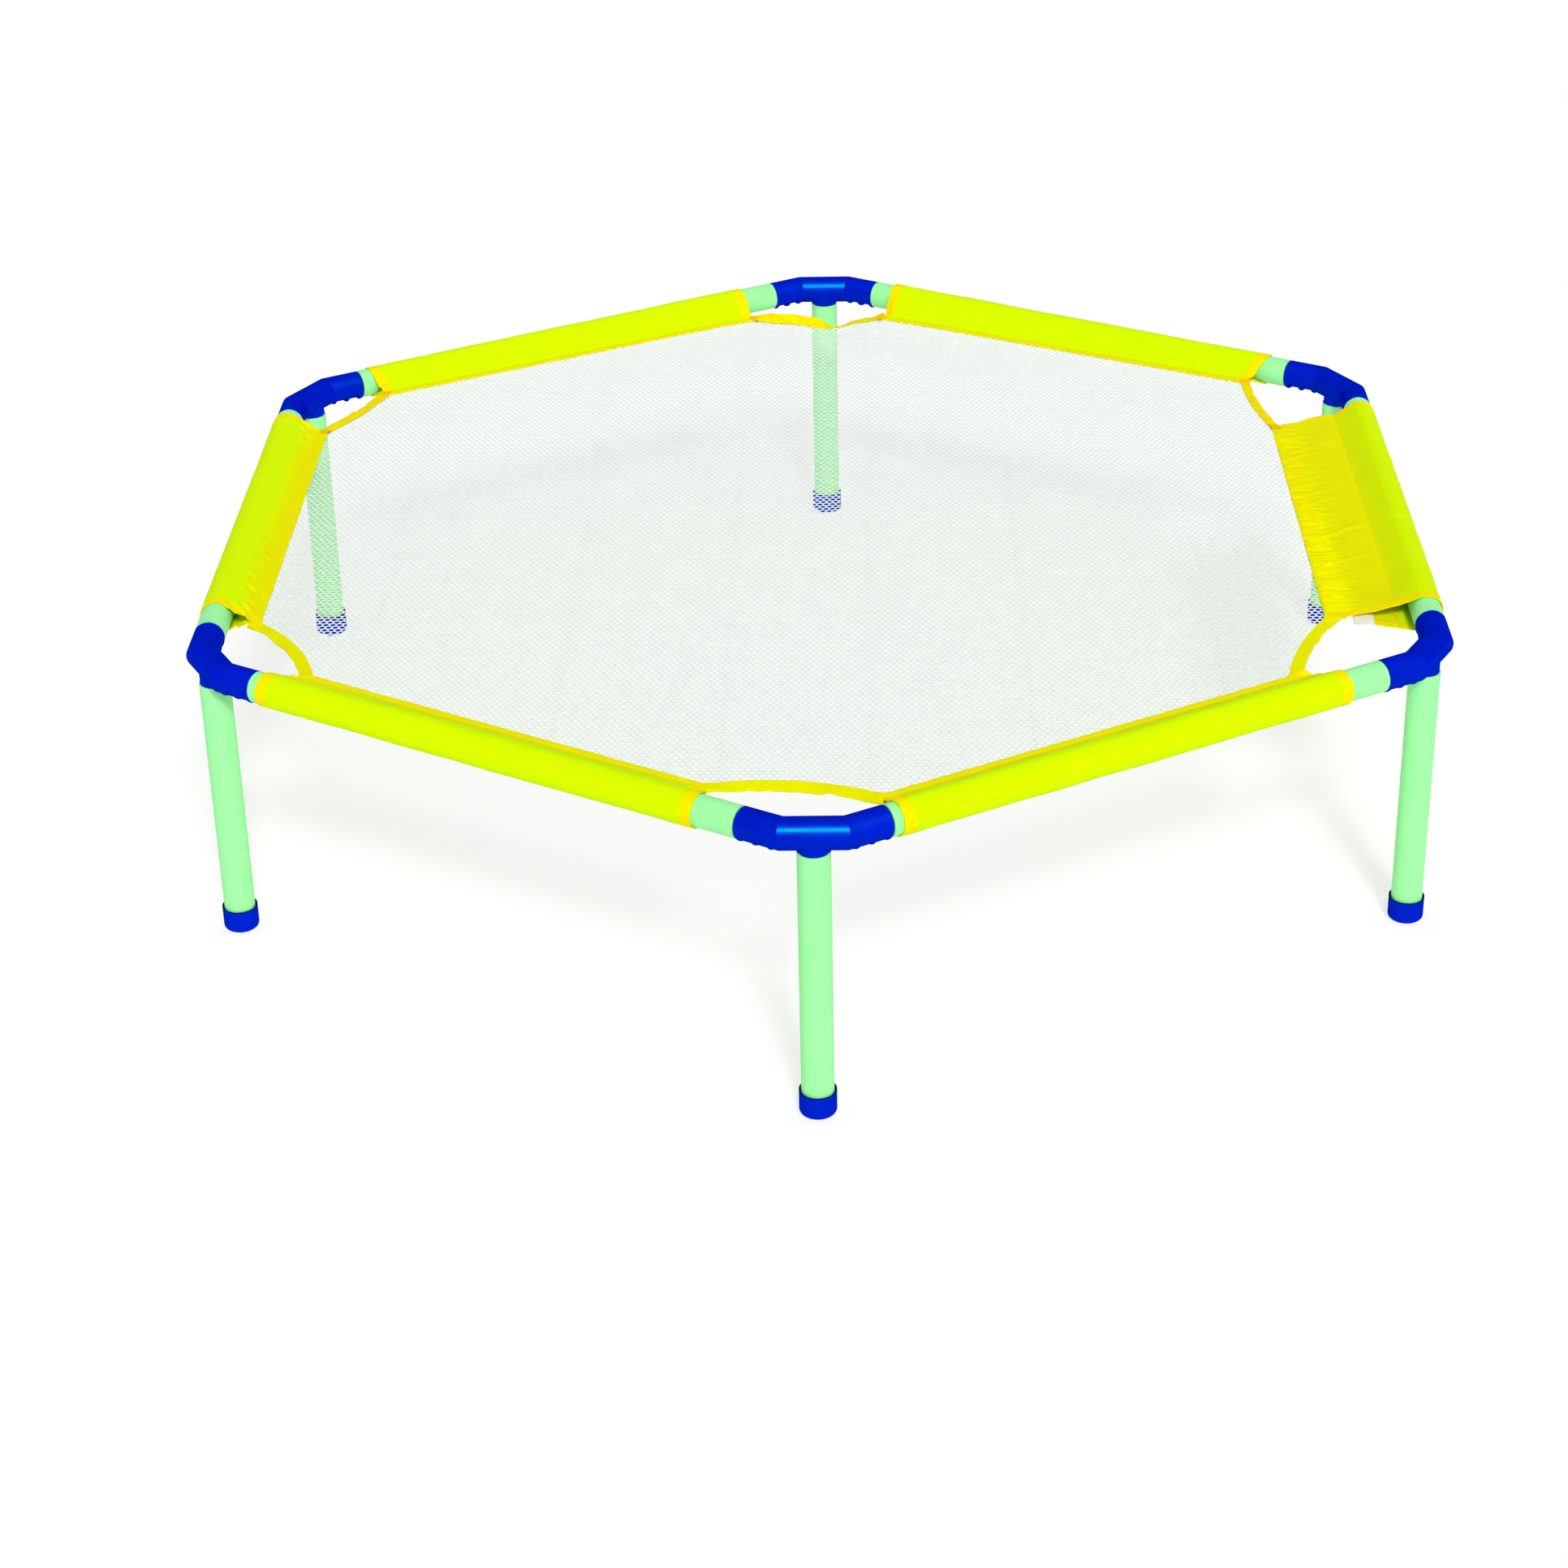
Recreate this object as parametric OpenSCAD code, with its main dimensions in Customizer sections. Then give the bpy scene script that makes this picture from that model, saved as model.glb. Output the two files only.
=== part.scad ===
// Low hexagonal bounce net on a knock-down tube frame, in millimetres.
// Six corner connectors and six side tubes make a ring. A push-on leg stands under each corner,
// and a cloth sleeve round each side tube holds one edge of the net.
// The origin is on the floor under the middle of the ring, and the front corner points to -Y.

/* [Ring] */
// Distance between the axes of two opposite side tubes
across_flats = 1250; // [1000:10:1500]
// Height of the side tubes' axes above the floor
ring_height = 306; // [220:1:450]
// Outside diameter of every tube
tube_od = 32; // [26:0.5:40]
// Wall thickness of every tube
tube_wall = 2; // [1.5:0.1:3]

/* [Corner connectors] */
// Length of the middle from mitre to mitre, along the axis
middle_len = 60; // [50:1:90]
// Length of each arm from its mitre to its end, along the axis
arm_len = 42; // [36:1:70]
// Length of each side spigot inside its tube
spigot_len = 55; // [25:1:90]
// Wall thickness of the spigots
spigot_wall = 2.2; // [1.5:0.1:3.5]
// Radial gap between a spigot and the bore of its tube
spigot_gap = 0.3; // [0.15:0.05:0.6]
// Gap between an arm's end and the end of its side tube
end_gap = 1; // [0.3:0.1:1.5]
// Bevel round the end of each arm
arm_bevel = 0.6; // [0.2:0.1:1]
// Length of the leg spigot below its neck
leg_spigot_len = 50; // [25:1:90]
// Step from a leg tube's outside in to the neck that it stops against
neck_step = 1.2; // [0:0.1:1.2]
// Height of the neck below the underside of the middle section
neck_drop = 2; // [1:0.5:12]
// Length of the tapered lead-in at each spigot's tip
lead_in = 3; // [1:0.5:8]

/* [Underside of the arms] */
// Number of half-round ribs under each arm
rib_count = 3; // [2:1:4]
// Width of each rib
rib_width = 4.6; // [3:0.2:6]
// Height that each rib stands below the tube line
rib_drop = 1.3; // [0.4:0.1:2]
// Depth of the flat relief between the ribs
relief_depth = 2.2; // [0.5:0.1:2.6]
// Turn of the relief from straight down towards the inside of the ring
relief_turn = 30; // [0:5:45]

/* [Legs and feet] */
// Gap between a leg tube's top and the neck above it
leg_seat_gap = 0.2; // [0.1:0.05:0.5]
// Height of each foot cap
cap_height = 26; // [18:1:45]
// Wall thickness of each foot cap
cap_wall = 2.2; // [1.5:0.1:4]
// Thickness of each foot cap's floor
cap_floor = 3; // [2:0.5:6]
// Radius of the foot cap's bottom edge
cap_edge = 5; // [2:0.5:8]
// Radial gap between a leg tube and its foot cap
cap_gap = 0.15; // [0.1:0.05:0.4]
// Bevel round the inside of the foot cap's mouth
mouth_bevel = 1.4; // [0.4:0.2:1.4]

/* [Sleeves] */
// Thickness of one layer of sleeve cloth
cloth = 0.8; // [0.5:0.1:1.5]
// Slack between a side tube and the cloth round it
sleeve_gap = 0.4; // [0.3:0.1:1]
// Distance from a side tube's axis to the net edge
sleeve_reach = 45; // [38:1:70]
// Width of the doubled band between the seam and the net edge
band_width = 9; // [6:1:14]
// Distance from the right side tube's axis to the net edge
wide_reach = 105; // [95:1:130]
// Distance from the right side tube's axis to the seam beside it
wide_seam = 30; // [26:1:36]
// Width of the gathered band along the net on the right side
gather_width = 22; // [12:1:28]
// Distance from the right side tube's axis to the free edge of the lower flap
flap_reach = 76; // [66:1:80]
// Bare tube left at the start and the end of the front right sleeve
bare_front_right = [10, 46]; // [0:1:80]
// Bare tube left at the start and the end of the right sleeve
bare_right = [30, 17]; // [0:1:80]
// Bare tube left at the start and the end of the rear right sleeve
bare_rear_right = [27, 28]; // [0:1:80]
// Bare tube left at the start and the end of the rear left sleeve
bare_rear_left = [45, 14]; // [0:1:80]
// Bare tube left at the start and the end of the left sleeve
bare_left = [15, 44]; // [0:1:80]
// Bare tube left at the start and the end of the front left sleeve
bare_front_left = [12, 46]; // [0:1:80]

/* [Closure strip] */
// Width of the hook-and-loop strip inside the right sleeve
strip_width = 20; // [10:1:22]
// Thickness of the closed strip
strip_thick = 1.5; // [1:0.1:2.5]

/* [Net] */
// Thickness of the net
net_thick = 1; // [0.6:0.1:2]
// Number of gaps across the net from side to side
net_cells = 17; // [11:1:17]
// Share of the spacing that a gap takes
gap_share = 0.68; // [0.5:0.02:0.8]
// Solid edge left round the gaps
net_edge = 6; // [3:1:20]
// Depth of the hollow curve that the net is cut to at each corner, from the front one anticlockwise
corner_hollow = [15, 7, 5, 8, 5, 11]; // [4:1:24]
// Width of the cloth binding on each corner cut
binding_width = 12; // [6:1:14]
// Clearance between the cloth pieces and the net
cloth_gap = 0.3; // [0.2:0.05:0.5]

/* [Hidden] */
// Corners and sides run anticlockwise seen from above. Side i joins corner i to corner i + 1.
CORNERS = ["front", "front_right", "rear_right", "rear", "rear_left", "front_left"];
SIDES = ["front_right", "right", "rear_right", "rear_left", "left", "front_left"];
$fn = 96;

// The side whose sleeve is a wide wrap with a closure strip
WIDE_SIDE = 1;
corner_turn = 30;
bare = [bare_front_right, bare_right, bare_rear_right, bare_rear_left, bare_left, bare_front_left];
// How much further in each sleeve's two net corners lie than its ends at the tube
drawn_in = [[12, 18], [-16, 32], [0, 22], [18, 4], [16, -18], [22, 20]];

tube_r = tube_od / 2;
side_len = across_flats / sqrt(3);
corner_radius = side_len - middle_len / sqrt(3) / 2;
arm_end = middle_len / sqrt(3) + arm_len;
tube_len = side_len - 2 * (arm_end + end_gap);
mitre_reach = tube_r * tan(corner_turn / 2);
spigot_d = tube_od - 2 * (tube_wall + spigot_gap);
core_d = spigot_d - 2 * spigot_wall;
rib_r = rib_width / 2;
rib_pitch = (arm_len - mitre_reach - rib_width) / (rib_count - 1);
rib_end = 0.2;
relief_end = 2.5;
neck_z = tube_r + neck_drop;
leg_top = ring_height - neck_z - leg_seat_gap;
cap_r = tube_r + cap_gap + cap_wall;
cloth_r = tube_r + sleeve_gap;
wrap_r = cloth_r + cloth;
// The flat parts of the right sleeve lie on both sides of the closure strip
layer_z = strip_thick / 2 + cloth_gap;
flat_half = cloth + cloth_gap + net_thick / 4;
seam_width = 2;
// Half height of the slit where the two layers meet at the seam
seam_slit = 0.2;
// How far each sleeve's outline stays square past the tube's axis before it slants to the net
knee = -tube_r / 2;
// Cloth shapes that are joined run this far into each other
lap = 0.01;
arc_steps = 14;

// ---- Places on the ring ----

module at_side(i) {
    rotate(60 * i - 60)
        translate([across_flats / 2, 0, ring_height])
            children();
}

module at_corner(i) {
    rotate(60 * i - 90)
        translate([corner_radius, 0, ring_height])
            children();
}

// A rod along +Y from the origin
module rod(d, length) {
    rotate([-90, 0, 0])
        cylinder(d = d, h = length);
}

// A straight tube along +Z from the origin
module tube(length) {
    difference() {
        cylinder(r = tube_r, h = length);
        translate([0, 0, -1])
            cylinder(r = tube_r - tube_wall, h = length + 2);
    }
}

// ---- Corner connectors ----

// Two copies, one for each end of a connector
module both_ends() {
    children();
    mirror([0, 1, 0])
        children();
}

// The frame of an arm: the point where the axes meet is the origin and +Y runs along the arm
module at_arm() {
    translate([0, middle_len / 2, 0])
        rotate(corner_turn)
            children();
}

// A rod of diameter d that leaves the mitre plane y = 0 at half the turn
module mitred_rod(d, length) {
    difference() {
        rotate(corner_turn / 2)
            translate([0, -d, 0])
                rod(d, d + length);
        translate([-d, -2 * d, -d])
            cube([2 * d, 2 * d, 2 * d]);
    }
}

// Half of a round path of diameter d, from the middle through one mitre to past the arm's end
module half_path(d, past_arm) {
    difference() {
        translate([0, middle_len / 2, 0])
            rotate(corner_turn / 2) {
                mitred_rod(d, arm_len + past_arm);
                mirror([0, 1, 0])
                    mitred_rod(d, middle_len / 2 + d);
            }
        translate([-d, -2 * d, -d])
            cube([2 * d, 2 * d, 2 * d]);
    }
}

// A round path of diameter d through the middle and both mitred arms
module bent_path(d, past_arm) {
    both_ends()
        half_path(d, past_arm);
}

// A spigot along +Z whose tip narrows by one wall's thickness
module spigot(length) {
    cylinder(d = spigot_d, h = length - lead_in);
    translate([0, 0, length - lead_in])
        cylinder(d1 = spigot_d, d2 = spigot_d - spigot_wall, h = lead_in);
}

module rib_ring() {
    rotate([90, 0, 0])
        rotate_extrude()
            translate([tube_r - rib_r, 0])
                circle(r = rib_r);
}

// What the bevel takes off round the end of an arm
module bevel_ring() {
    translate([0, arm_len, 0])
        rotate([-90, 0, 0])
            rotate_extrude()
                polygon([
                    [tube_r + 1, -arm_bevel - 1],
                    [tube_r + 1, 1],
                    [tube_r - arm_bevel - 1, 1]
                ]);
}

module arm_relief() {
    rotate([0, relief_turn, 0])
        translate([-tube_r, mitre_reach + rib_r, -tube_od])
            cube([tube_od, arm_len - mitre_reach - rib_r - relief_end, tube_r + relief_depth]);
}

module connector_outside() {
    difference() {
        bent_path(tube_od, 0);
        both_ends()
            at_arm() {
                arm_relief();
                bevel_ring();
            }
    }
    both_ends()
        at_arm() {
            for (k = [0 : rib_count - 1])
                translate([0, arm_len - rib_r - rib_end - k * rib_pitch, -rib_drop])
                    rib_ring();
            translate([0, arm_len - 1, 0])
                rotate([-90, 0, 0])
                    spigot(spigot_len + 1);
        }
    translate([0, 0, -neck_z])
        cylinder(r = tube_r - neck_step, h = neck_z);
    translate([0, 0, -neck_z + 1])
        mirror([0, 0, 1])
            spigot(leg_spigot_len + 1);
}

module connector(i) {
    color("mediumblue")
        at_corner(i)
            difference() {
                connector_outside();
                bent_path(core_d, spigot_len + 1);
                translate([0, 0, -neck_z - leg_spigot_len - 1])
                    cylinder(d = core_d, h = neck_z + leg_spigot_len + 1);
            }
}

// ---- Tubes and feet ----

module side_tube(i) {
    color("palegreen")
        at_side(i)
            rotate([-90, 0, 0])
                translate([0, 0, -tube_len / 2])
                    tube(tube_len);
}

module leg_tube(i) {
    color("palegreen")
        at_corner(i)
            translate([0, 0, cap_floor - ring_height])
                tube(leg_top - cap_floor);
}

module cap_outline() {
    translate([0, cap_edge])
        square([cap_r, cap_height - cap_edge]);
    square([cap_r - cap_edge, cap_height]);
    translate([cap_r - cap_edge, cap_edge])
        circle(r = cap_edge);
}

module foot_cap(i) {
    bore = tube_r + cap_gap;
    color("mediumblue")
        at_corner(i)
            translate([0, 0, -ring_height])
                difference() {
                    rotate_extrude()
                        intersection() {
                            cap_outline();
                            square([cap_r, cap_height]);
                        }
                    translate([0, 0, cap_floor])
                        cylinder(r = bore, h = cap_height);
                    translate([0, 0, cap_height - mouth_bevel])
                        cylinder(r1 = bore, r2 = bore + mouth_bevel, h = mouth_bevel);
                }
}

// ---- Sleeves ----

function reach(i) = i == WIDE_SIDE ? wide_reach : sleeve_reach;

// Where side i's sleeve starts and ends at the tube, and at the net, along the side
function tube_start(i) = -side_len / 2 + arm_end + bare[i][0];
function tube_stop(i) = side_len / 2 - arm_end - bare[i][1];
function net_start(i) = tube_start(i) + drawn_in[i][0];
function net_stop(i) = tube_stop(i) - drawn_in[i][1];

// Angle of the point where a line from (-d, e) touches a circle of radius r, measured from -X
function touch_angle(r, d, e) = acos(r / norm([d, e])) + atan2(e, d);

// A circle of radius r drawn out to a blunt edge of half height e at x = -d
module teardrop(r, d, e) {
    a = touch_angle(r, d, e);
    circle(r = r);
    polygon([
        [-r * cos(a), r * sin(a)],
        [-d, e],
        [-d, -e],
        [-r * cos(a), -r * sin(a)],
        [0, 0]
    ]);
}

module sleeve_profile() {
    seam = sleeve_reach - band_width;
    difference() {
        union() {
            teardrop(wrap_r, seam, flat_half);
            translate([-sleeve_reach, -flat_half])
                square([band_width + lap, 2 * flat_half]);
        }
        teardrop(cloth_r, seam - seam_width, seam_slit);
    }
}

// The upper layer runs to the net, and the lower flap stops short under the closure strip
module wide_profile() {
    gather = wide_reach - gather_width;
    difference() {
        union() {
            teardrop(wrap_r, wide_seam, layer_z + cloth);
            translate([-wide_reach, layer_z])
                square([wide_reach - wide_seam + lap, cloth]);
            translate([-flap_reach, -layer_z - cloth])
                square([flap_reach - wide_seam + lap, cloth]);
            translate([-wide_reach, -flat_half])
                square([gather_width, flat_half + layer_z + cloth / 2]);
        }
        teardrop(cloth_r, wide_seam - seam_width, seam_slit);
    }
}

// The outline of a sleeve seen from above, square over the tube and slanting in to the net.
// Both ends are moved out by grow.
module sleeve_plan(i, grow = 0) {
    outer = wrap_r + 1;
    polygon([
        [outer, tube_start(i) - grow],
        [outer, tube_stop(i) + grow],
        [knee, tube_stop(i) + grow],
        [-reach(i), net_stop(i) + grow],
        [-reach(i) - 1, net_stop(i) + grow],
        [-reach(i) - 1, net_start(i) - grow],
        [-reach(i), net_start(i) - grow],
        [knee, tube_start(i) - grow]
    ]);
}

module sleeve(i) {
    color("yellow")
        at_side(i)
            intersection() {
                rotate([90, 0, 0])
                    linear_extrude(height = side_len, center = true)
                        if (i == WIDE_SIDE)
                            wide_profile();
                        else
                            sleeve_profile();
                linear_extrude(height = 2 * wrap_r + 1, center = true)
                    sleeve_plan(i);
            }
}

// The strip lies between the two layers, flush with the slanted ends of the right sleeve
module closure_strip() {
    color("whitesmoke")
        at_side(WIDE_SIDE)
            intersection() {
                translate([-flap_reach, -side_len / 2, -strip_thick / 2])
                    cube([strip_width, side_len, strip_thick]);
                linear_extrude(height = 2 * wrap_r + 1, center = true)
                    sleeve_plan(WIDE_SIDE);
            }
}

// ---- Net and corner bindings ----

function turned(p, a) = [p[0] * cos(a) - p[1] * sin(a), p[0] * sin(a) + p[1] * cos(a)];
function on_side(i, x, y) = turned([across_flats / 2 + x, y], 60 * i - 60);
function side_before(i) = (i + 5) % 6;

// Each corner cut is an arc from the sleeve before it to the sleeve after it
function cut_from(i) = on_side(side_before(i), -reach(side_before(i)), net_stop(side_before(i)));
function cut_to(i) = on_side(i, -reach(i), net_start(i));
function cut_span(i) = norm(cut_to(i) - cut_from(i));
function cut_radius(i) = (pow(cut_span(i) / 2, 2) + pow(corner_hollow[i], 2)) / (2 * corner_hollow[i]);
function cut_along(i) = (cut_to(i) - cut_from(i)) / cut_span(i);
function cut_centre(i) =
    (cut_from(i) + cut_to(i)) / 2
    + (cut_radius(i) - corner_hollow[i]) * [cut_along(i)[1], -cut_along(i)[0]];
function bearing(v) = atan2(v[1], v[0]);
function short_turn(a) = a > 180 ? a - 360 : a < -180 ? a + 360 : a;

// Points on the corner cut, moved away from its centre by shift
function cut_arc(i, shift) =
    let (
        c = cut_centre(i),
        a = bearing(cut_from(i) - c),
        sweep = short_turn(bearing(cut_to(i) - c) - a)
    )
    [for (k = [0 : arc_steps])
        let (t = a + sweep * k / arc_steps)
        c + (cut_radius(i) + shift) * [cos(t), sin(t)]];

function reversed(list) = [for (k = [len(list) - 1 : -1 : 0]) list[k]];

// The binding stops just short of the sleeves on both sides of the corner
module binding(i) {
    color("gold")
        difference() {
            translate([0, 0, ring_height])
                linear_extrude(height = 2 * flat_half, center = true)
                    polygon(concat(cut_arc(i, 0), reversed(cut_arc(i, -binding_width))));
            for (j = [side_before(i), i])
                at_side(j)
                    linear_extrude(height = 4 * flat_half, center = true)
                        sleeve_plan(j, cloth_gap);
        }
}

net_pitch = (across_flats - 2 * sleeve_reach) / (net_cells + 0.5);
net_gap_r = net_pitch * gap_share / sqrt(3);

// Distance from a point of the net to the nearest edge, positive inside
function room(p) = min(
    min([for (i = [0 : 5]) across_flats / 2 - reach(i) - p * turned([1, 0], 60 * i - 60)]),
    min([for (i = [0 : 5]) norm(p - cut_centre(i)) - cut_radius(i)])
);

net_rows = ceil(net_cells / sqrt(3)) + 1;
net_gaps = [
    for (row = [-net_rows : net_rows], col = [-net_cells : net_cells])
        let (p = net_pitch * [col + abs(row % 2) / 2, row * sqrt(3) / 2])
        if (room(p) > net_gap_r + net_edge)
            p
];

module net() {
    color("white")
        translate([0, 0, ring_height])
            linear_extrude(height = net_thick, center = true)
                difference() {
                    polygon([for (i = [0 : 5]) each cut_arc(i, cloth_gap)]);
                    for (p = net_gaps)
                        translate(p)
                            rotate(30)
                                circle(r = net_gap_r, $fn = 6);
                }
}

for (i = [0 : 5]) {
    connector(i);
    side_tube(i);
    leg_tube(i);
    foot_cap(i);
    sleeve(i);
    binding(i);
}
net();
closure_strip();
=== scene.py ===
"""Visual model of a low hexagonal bounce net on a knock-down tube frame.

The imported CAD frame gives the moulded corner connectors, the tubes and the foot caps. The cloth
is made here: six sewn sleeves, six corner bindings, the closure strip and the knitted net.
Sizes are in millimetres until a mesh is made, and in metres from there on.
"""

from __future__ import annotations

import logging
import math
from dataclasses import dataclass, field
from enum import Enum

import bpy
import numpy as np
from mathutils import Matrix, Vector


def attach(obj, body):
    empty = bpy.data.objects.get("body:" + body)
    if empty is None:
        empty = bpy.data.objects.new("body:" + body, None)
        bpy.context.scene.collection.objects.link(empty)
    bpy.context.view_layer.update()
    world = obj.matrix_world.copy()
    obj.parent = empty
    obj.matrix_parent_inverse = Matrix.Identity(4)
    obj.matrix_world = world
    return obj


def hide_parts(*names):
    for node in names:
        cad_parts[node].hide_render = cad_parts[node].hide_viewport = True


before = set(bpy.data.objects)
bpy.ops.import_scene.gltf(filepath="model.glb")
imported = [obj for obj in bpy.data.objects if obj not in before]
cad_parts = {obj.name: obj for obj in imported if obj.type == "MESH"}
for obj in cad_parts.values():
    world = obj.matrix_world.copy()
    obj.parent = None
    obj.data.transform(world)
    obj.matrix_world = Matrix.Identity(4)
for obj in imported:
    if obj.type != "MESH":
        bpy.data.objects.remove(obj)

log = logging.getLogger("bounce_net")
MM = 0.001
CORNERS = ("front", "front_right", "rear_right", "rear", "rear_left", "front_left")
SIDES = ("front_right", "right", "rear_right", "rear_left", "left", "front_left")
RING_BODY = "ring"
WIDE_SIDE = 1
UV_NAME = "cloth"
TONE_NAME = "tone"
SMOOTH_EDGE_DEG = 50.0
STITCH_EDGE_DEG = 80.0
# Map Range inputs: most values of a Noise texture lie between these two
NOISE_SPAN = {1: 0.3, 2: 0.7}


# ---- Numbers ----


def smooth(x: np.ndarray | float) -> np.ndarray:
    """A step from 0 to 1 with level ends, 3x^2 - 2x^3, for x held between 0 and 1."""
    x = np.clip(x, 0.0, 1.0)
    return x * x * (3.0 - 2.0 * x)


def bump(x: np.ndarray, centre: float, width: float) -> np.ndarray:
    """A bell of height 1 round a centre, exp(-((x - centre) / width)^2)."""
    return np.exp(-(((x - centre) / width) ** 2))


def ripple(
    x: np.ndarray, y: np.ndarray | float, seed: int, length: float, waves: int = 6
) -> np.ndarray:
    """Smooth noise from about -1 to 1: a sum of sines whose direction, length and phase are drawn.

    Args:
        x: First coordinate, in millimetres.
        y: Second coordinate, in millimetres.
        seed: Seed of the draws, so that each run gives the same noise.
        length: Mean wavelength, in millimetres.
        waves: Number of sines.

    Returns:
        The noise at each point.
    """
    draws = np.random.default_rng(seed)
    turn = draws.uniform(0.0, math.tau, waves)
    phase = draws.uniform(0.0, math.tau, waves)
    rate = math.tau / (length * draws.uniform(0.6, 1.6, waves))
    x, y = np.broadcast_arrays(x, y)
    along = x[..., None] * np.cos(turn) + y[..., None] * np.sin(turn)
    return np.sin(along * rate + phase).sum(-1) / math.sqrt(waves) / 1.3


# ---- Meshes ----


def unit(v: np.ndarray) -> np.ndarray:
    """Each vector over its own length."""
    return v / np.maximum(np.linalg.norm(v, axis=-1, keepdims=True), 1e-12)


def put(name: str, data: bpy.types.ID) -> bpy.types.Object:
    """Makes an object and links it to the scene.

    Args:
        name: Its name.
        data: Its mesh, lamp or camera.

    Returns:
        The object.
    """
    made = bpy.data.objects.new(name, data)
    bpy.context.scene.collection.objects.link(made)
    return made


def new_piece(
    name: str, points: np.ndarray, faces: np.ndarray, sharp_deg: float = SMOOTH_EDGE_DEG
) -> bpy.types.Object:
    """Makes an object from quads, smooth-shaded unless sharp_deg is 0.

    Args:
        name: Name of the piece.
        points: Vertices in millimetres, one row each.
        faces: Quads, four vertex numbers a row.
        sharp_deg: Edges that turn by more than this stay sharp.

    Returns:
        The new object, linked to the scene.
    """
    mesh = bpy.data.meshes.new(name)
    mesh.vertices.add(len(points))
    mesh.vertices.foreach_set("co", (points * MM).astype(np.float32).ravel())
    mesh.loops.add(faces.size)
    mesh.loops.foreach_set("vertex_index", faces.astype(np.int32).ravel())
    mesh.polygons.add(len(faces))
    mesh.polygons.foreach_set("loop_start", np.arange(0, faces.size, 4, dtype=np.int32))
    mesh.polygons.foreach_set("loop_total", np.full(len(faces), 4, np.int32))
    mesh.update(calc_edges=True)
    if sharp_deg:
        mesh.polygons.foreach_set("use_smooth", np.ones(len(faces), bool))
        mesh.set_sharp_from_angle(angle=math.radians(sharp_deg))
    return put(name, mesh)


def straight(first: tuple | np.ndarray, last: tuple | np.ndarray, count: int) -> np.ndarray:
    """Evenly spaced points from the first up to, and without, the last."""
    return np.linspace(first, last, count, endpoint=False)


def grid_quads(rows: int, columns: int) -> np.ndarray:
    """The quads of a grid of rows by columns points, numbered row by row."""
    first = (np.arange(rows - 1)[:, None] * columns + np.arange(columns - 1)[None]).ravel()
    return np.stack([first, first + columns, first + columns + 1, first + 1], 1)


def grid_border(rows: int, columns: int) -> np.ndarray:
    """The grid's border points in the order that its quads run, the first one again at the end."""
    number = np.arange(rows * columns).reshape(rows, columns)
    return np.concatenate([number[:, 0], number[-1, 1:], number[-2::-1, -1], number[0, -2::-1]])


def normals_of(grid: np.ndarray) -> np.ndarray:
    """Unit normals of a grid surface: the cross product of its slopes along rows and columns."""
    return unit(np.cross(np.gradient(grid, axis=0), np.gradient(grid, axis=1)))


def cloth_piece(
    name: str,
    middle: np.ndarray,
    outward: np.ndarray,
    inward: np.ndarray,
    uv: np.ndarray,
    tone: np.ndarray,
) -> bpy.types.Object:
    """Makes a sheet of cloth with real thickness: its middle moved out and in along the normal.

    Args:
        name: Name of the piece.
        middle: Middle surface, rows by columns by 3, in millimetres.
        outward: Distance from the middle to the outer face at each point.
        inward: Distance from the middle to the inner face at each point.
        uv: Distance along and across the cloth at each point, in millimetres.
        tone: 0 on a tube, 1 where it is free, 2 where it is doubled and 3 for painted shade deep in
            a fold.

    Returns:
        The closed piece, with a UV map in metres and its tone as a point attribute.
    """
    rows, columns = middle.shape[:2]
    normal = normals_of(middle)
    count = rows * columns
    points = np.concatenate(
        [
            (middle + normal * outward[..., None]).reshape(-1, 3),
            (middle - normal * inward[..., None]).reshape(-1, 3),
        ]
    )
    face = grid_quads(rows, columns)
    edge = grid_border(rows, columns)
    rim = np.stack([edge[1:], edge[:-1], edge[:-1] + count, edge[1:] + count], 1)
    faces = np.concatenate([face, face[:, ::-1] + count, rim])
    piece = new_piece(name, points, faces)
    flat = np.tile(uv.reshape(-1, 2) * MM, (2, 1))
    flat = flat[faces.ravel()].astype(np.float32)
    piece.data.uv_layers.new(name=UV_NAME).data.foreach_set("uv", flat.ravel())
    tones = np.tile(tone.ravel(), 2).astype(np.float32)
    piece.data.attributes.new(TONE_NAME, "FLOAT", "POINT").data.foreach_set("value", tones)
    return piece


def spindles(
    centre: np.ndarray, along: np.ndarray, up: np.ndarray, size: tuple[float, float, float]
) -> tuple[np.ndarray, np.ndarray]:
    """Stitches as four-sided spindles: rings of a diamond, small at both ends and full between.

    Args:
        centre: Middle of each stitch.
        along: Unit direction of each stitch.
        up: Unit direction away from the cloth at each stitch.
        size: Length, width and height of a stitch, in millimetres.

    Returns:
        Vertices and quads of all the stitches.
    """
    length, width, height = size
    place = np.array([-0.5, -0.28, 0.28, 0.5])
    fullness = np.array([0.3, 1.0, 1.0, 0.3])
    turn = np.arange(4) * math.tau / 4
    ring = np.stack(
        [
            np.repeat(place * length, 4),
            np.outer(fullness, np.cos(turn)).ravel() * width / 2,
            np.outer(fullness, np.sin(turn)).ravel() * height / 2,
        ],
        1,
    )
    side = np.cross(up, along)
    axes = np.stack([along, side, up], 1)
    points = centre[:, None] + np.einsum("ka,nab->nkb", ring, axes)
    corner = np.arange(4)
    after = np.roll(corner, -1)
    wall = np.stack([corner, after, after + 4, corner + 4], 1)
    walls = [wall + 4 * k for k in range(3)]
    local = np.concatenate([*walls, [[3, 2, 1, 0]], [[12, 13, 14, 15]]])
    faces = (local[None] + (np.arange(len(centre)) * 16)[:, None, None]).reshape(-1, 4)
    return points.reshape(-1, 3), faces


# ---- The ring's plan ----


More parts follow.
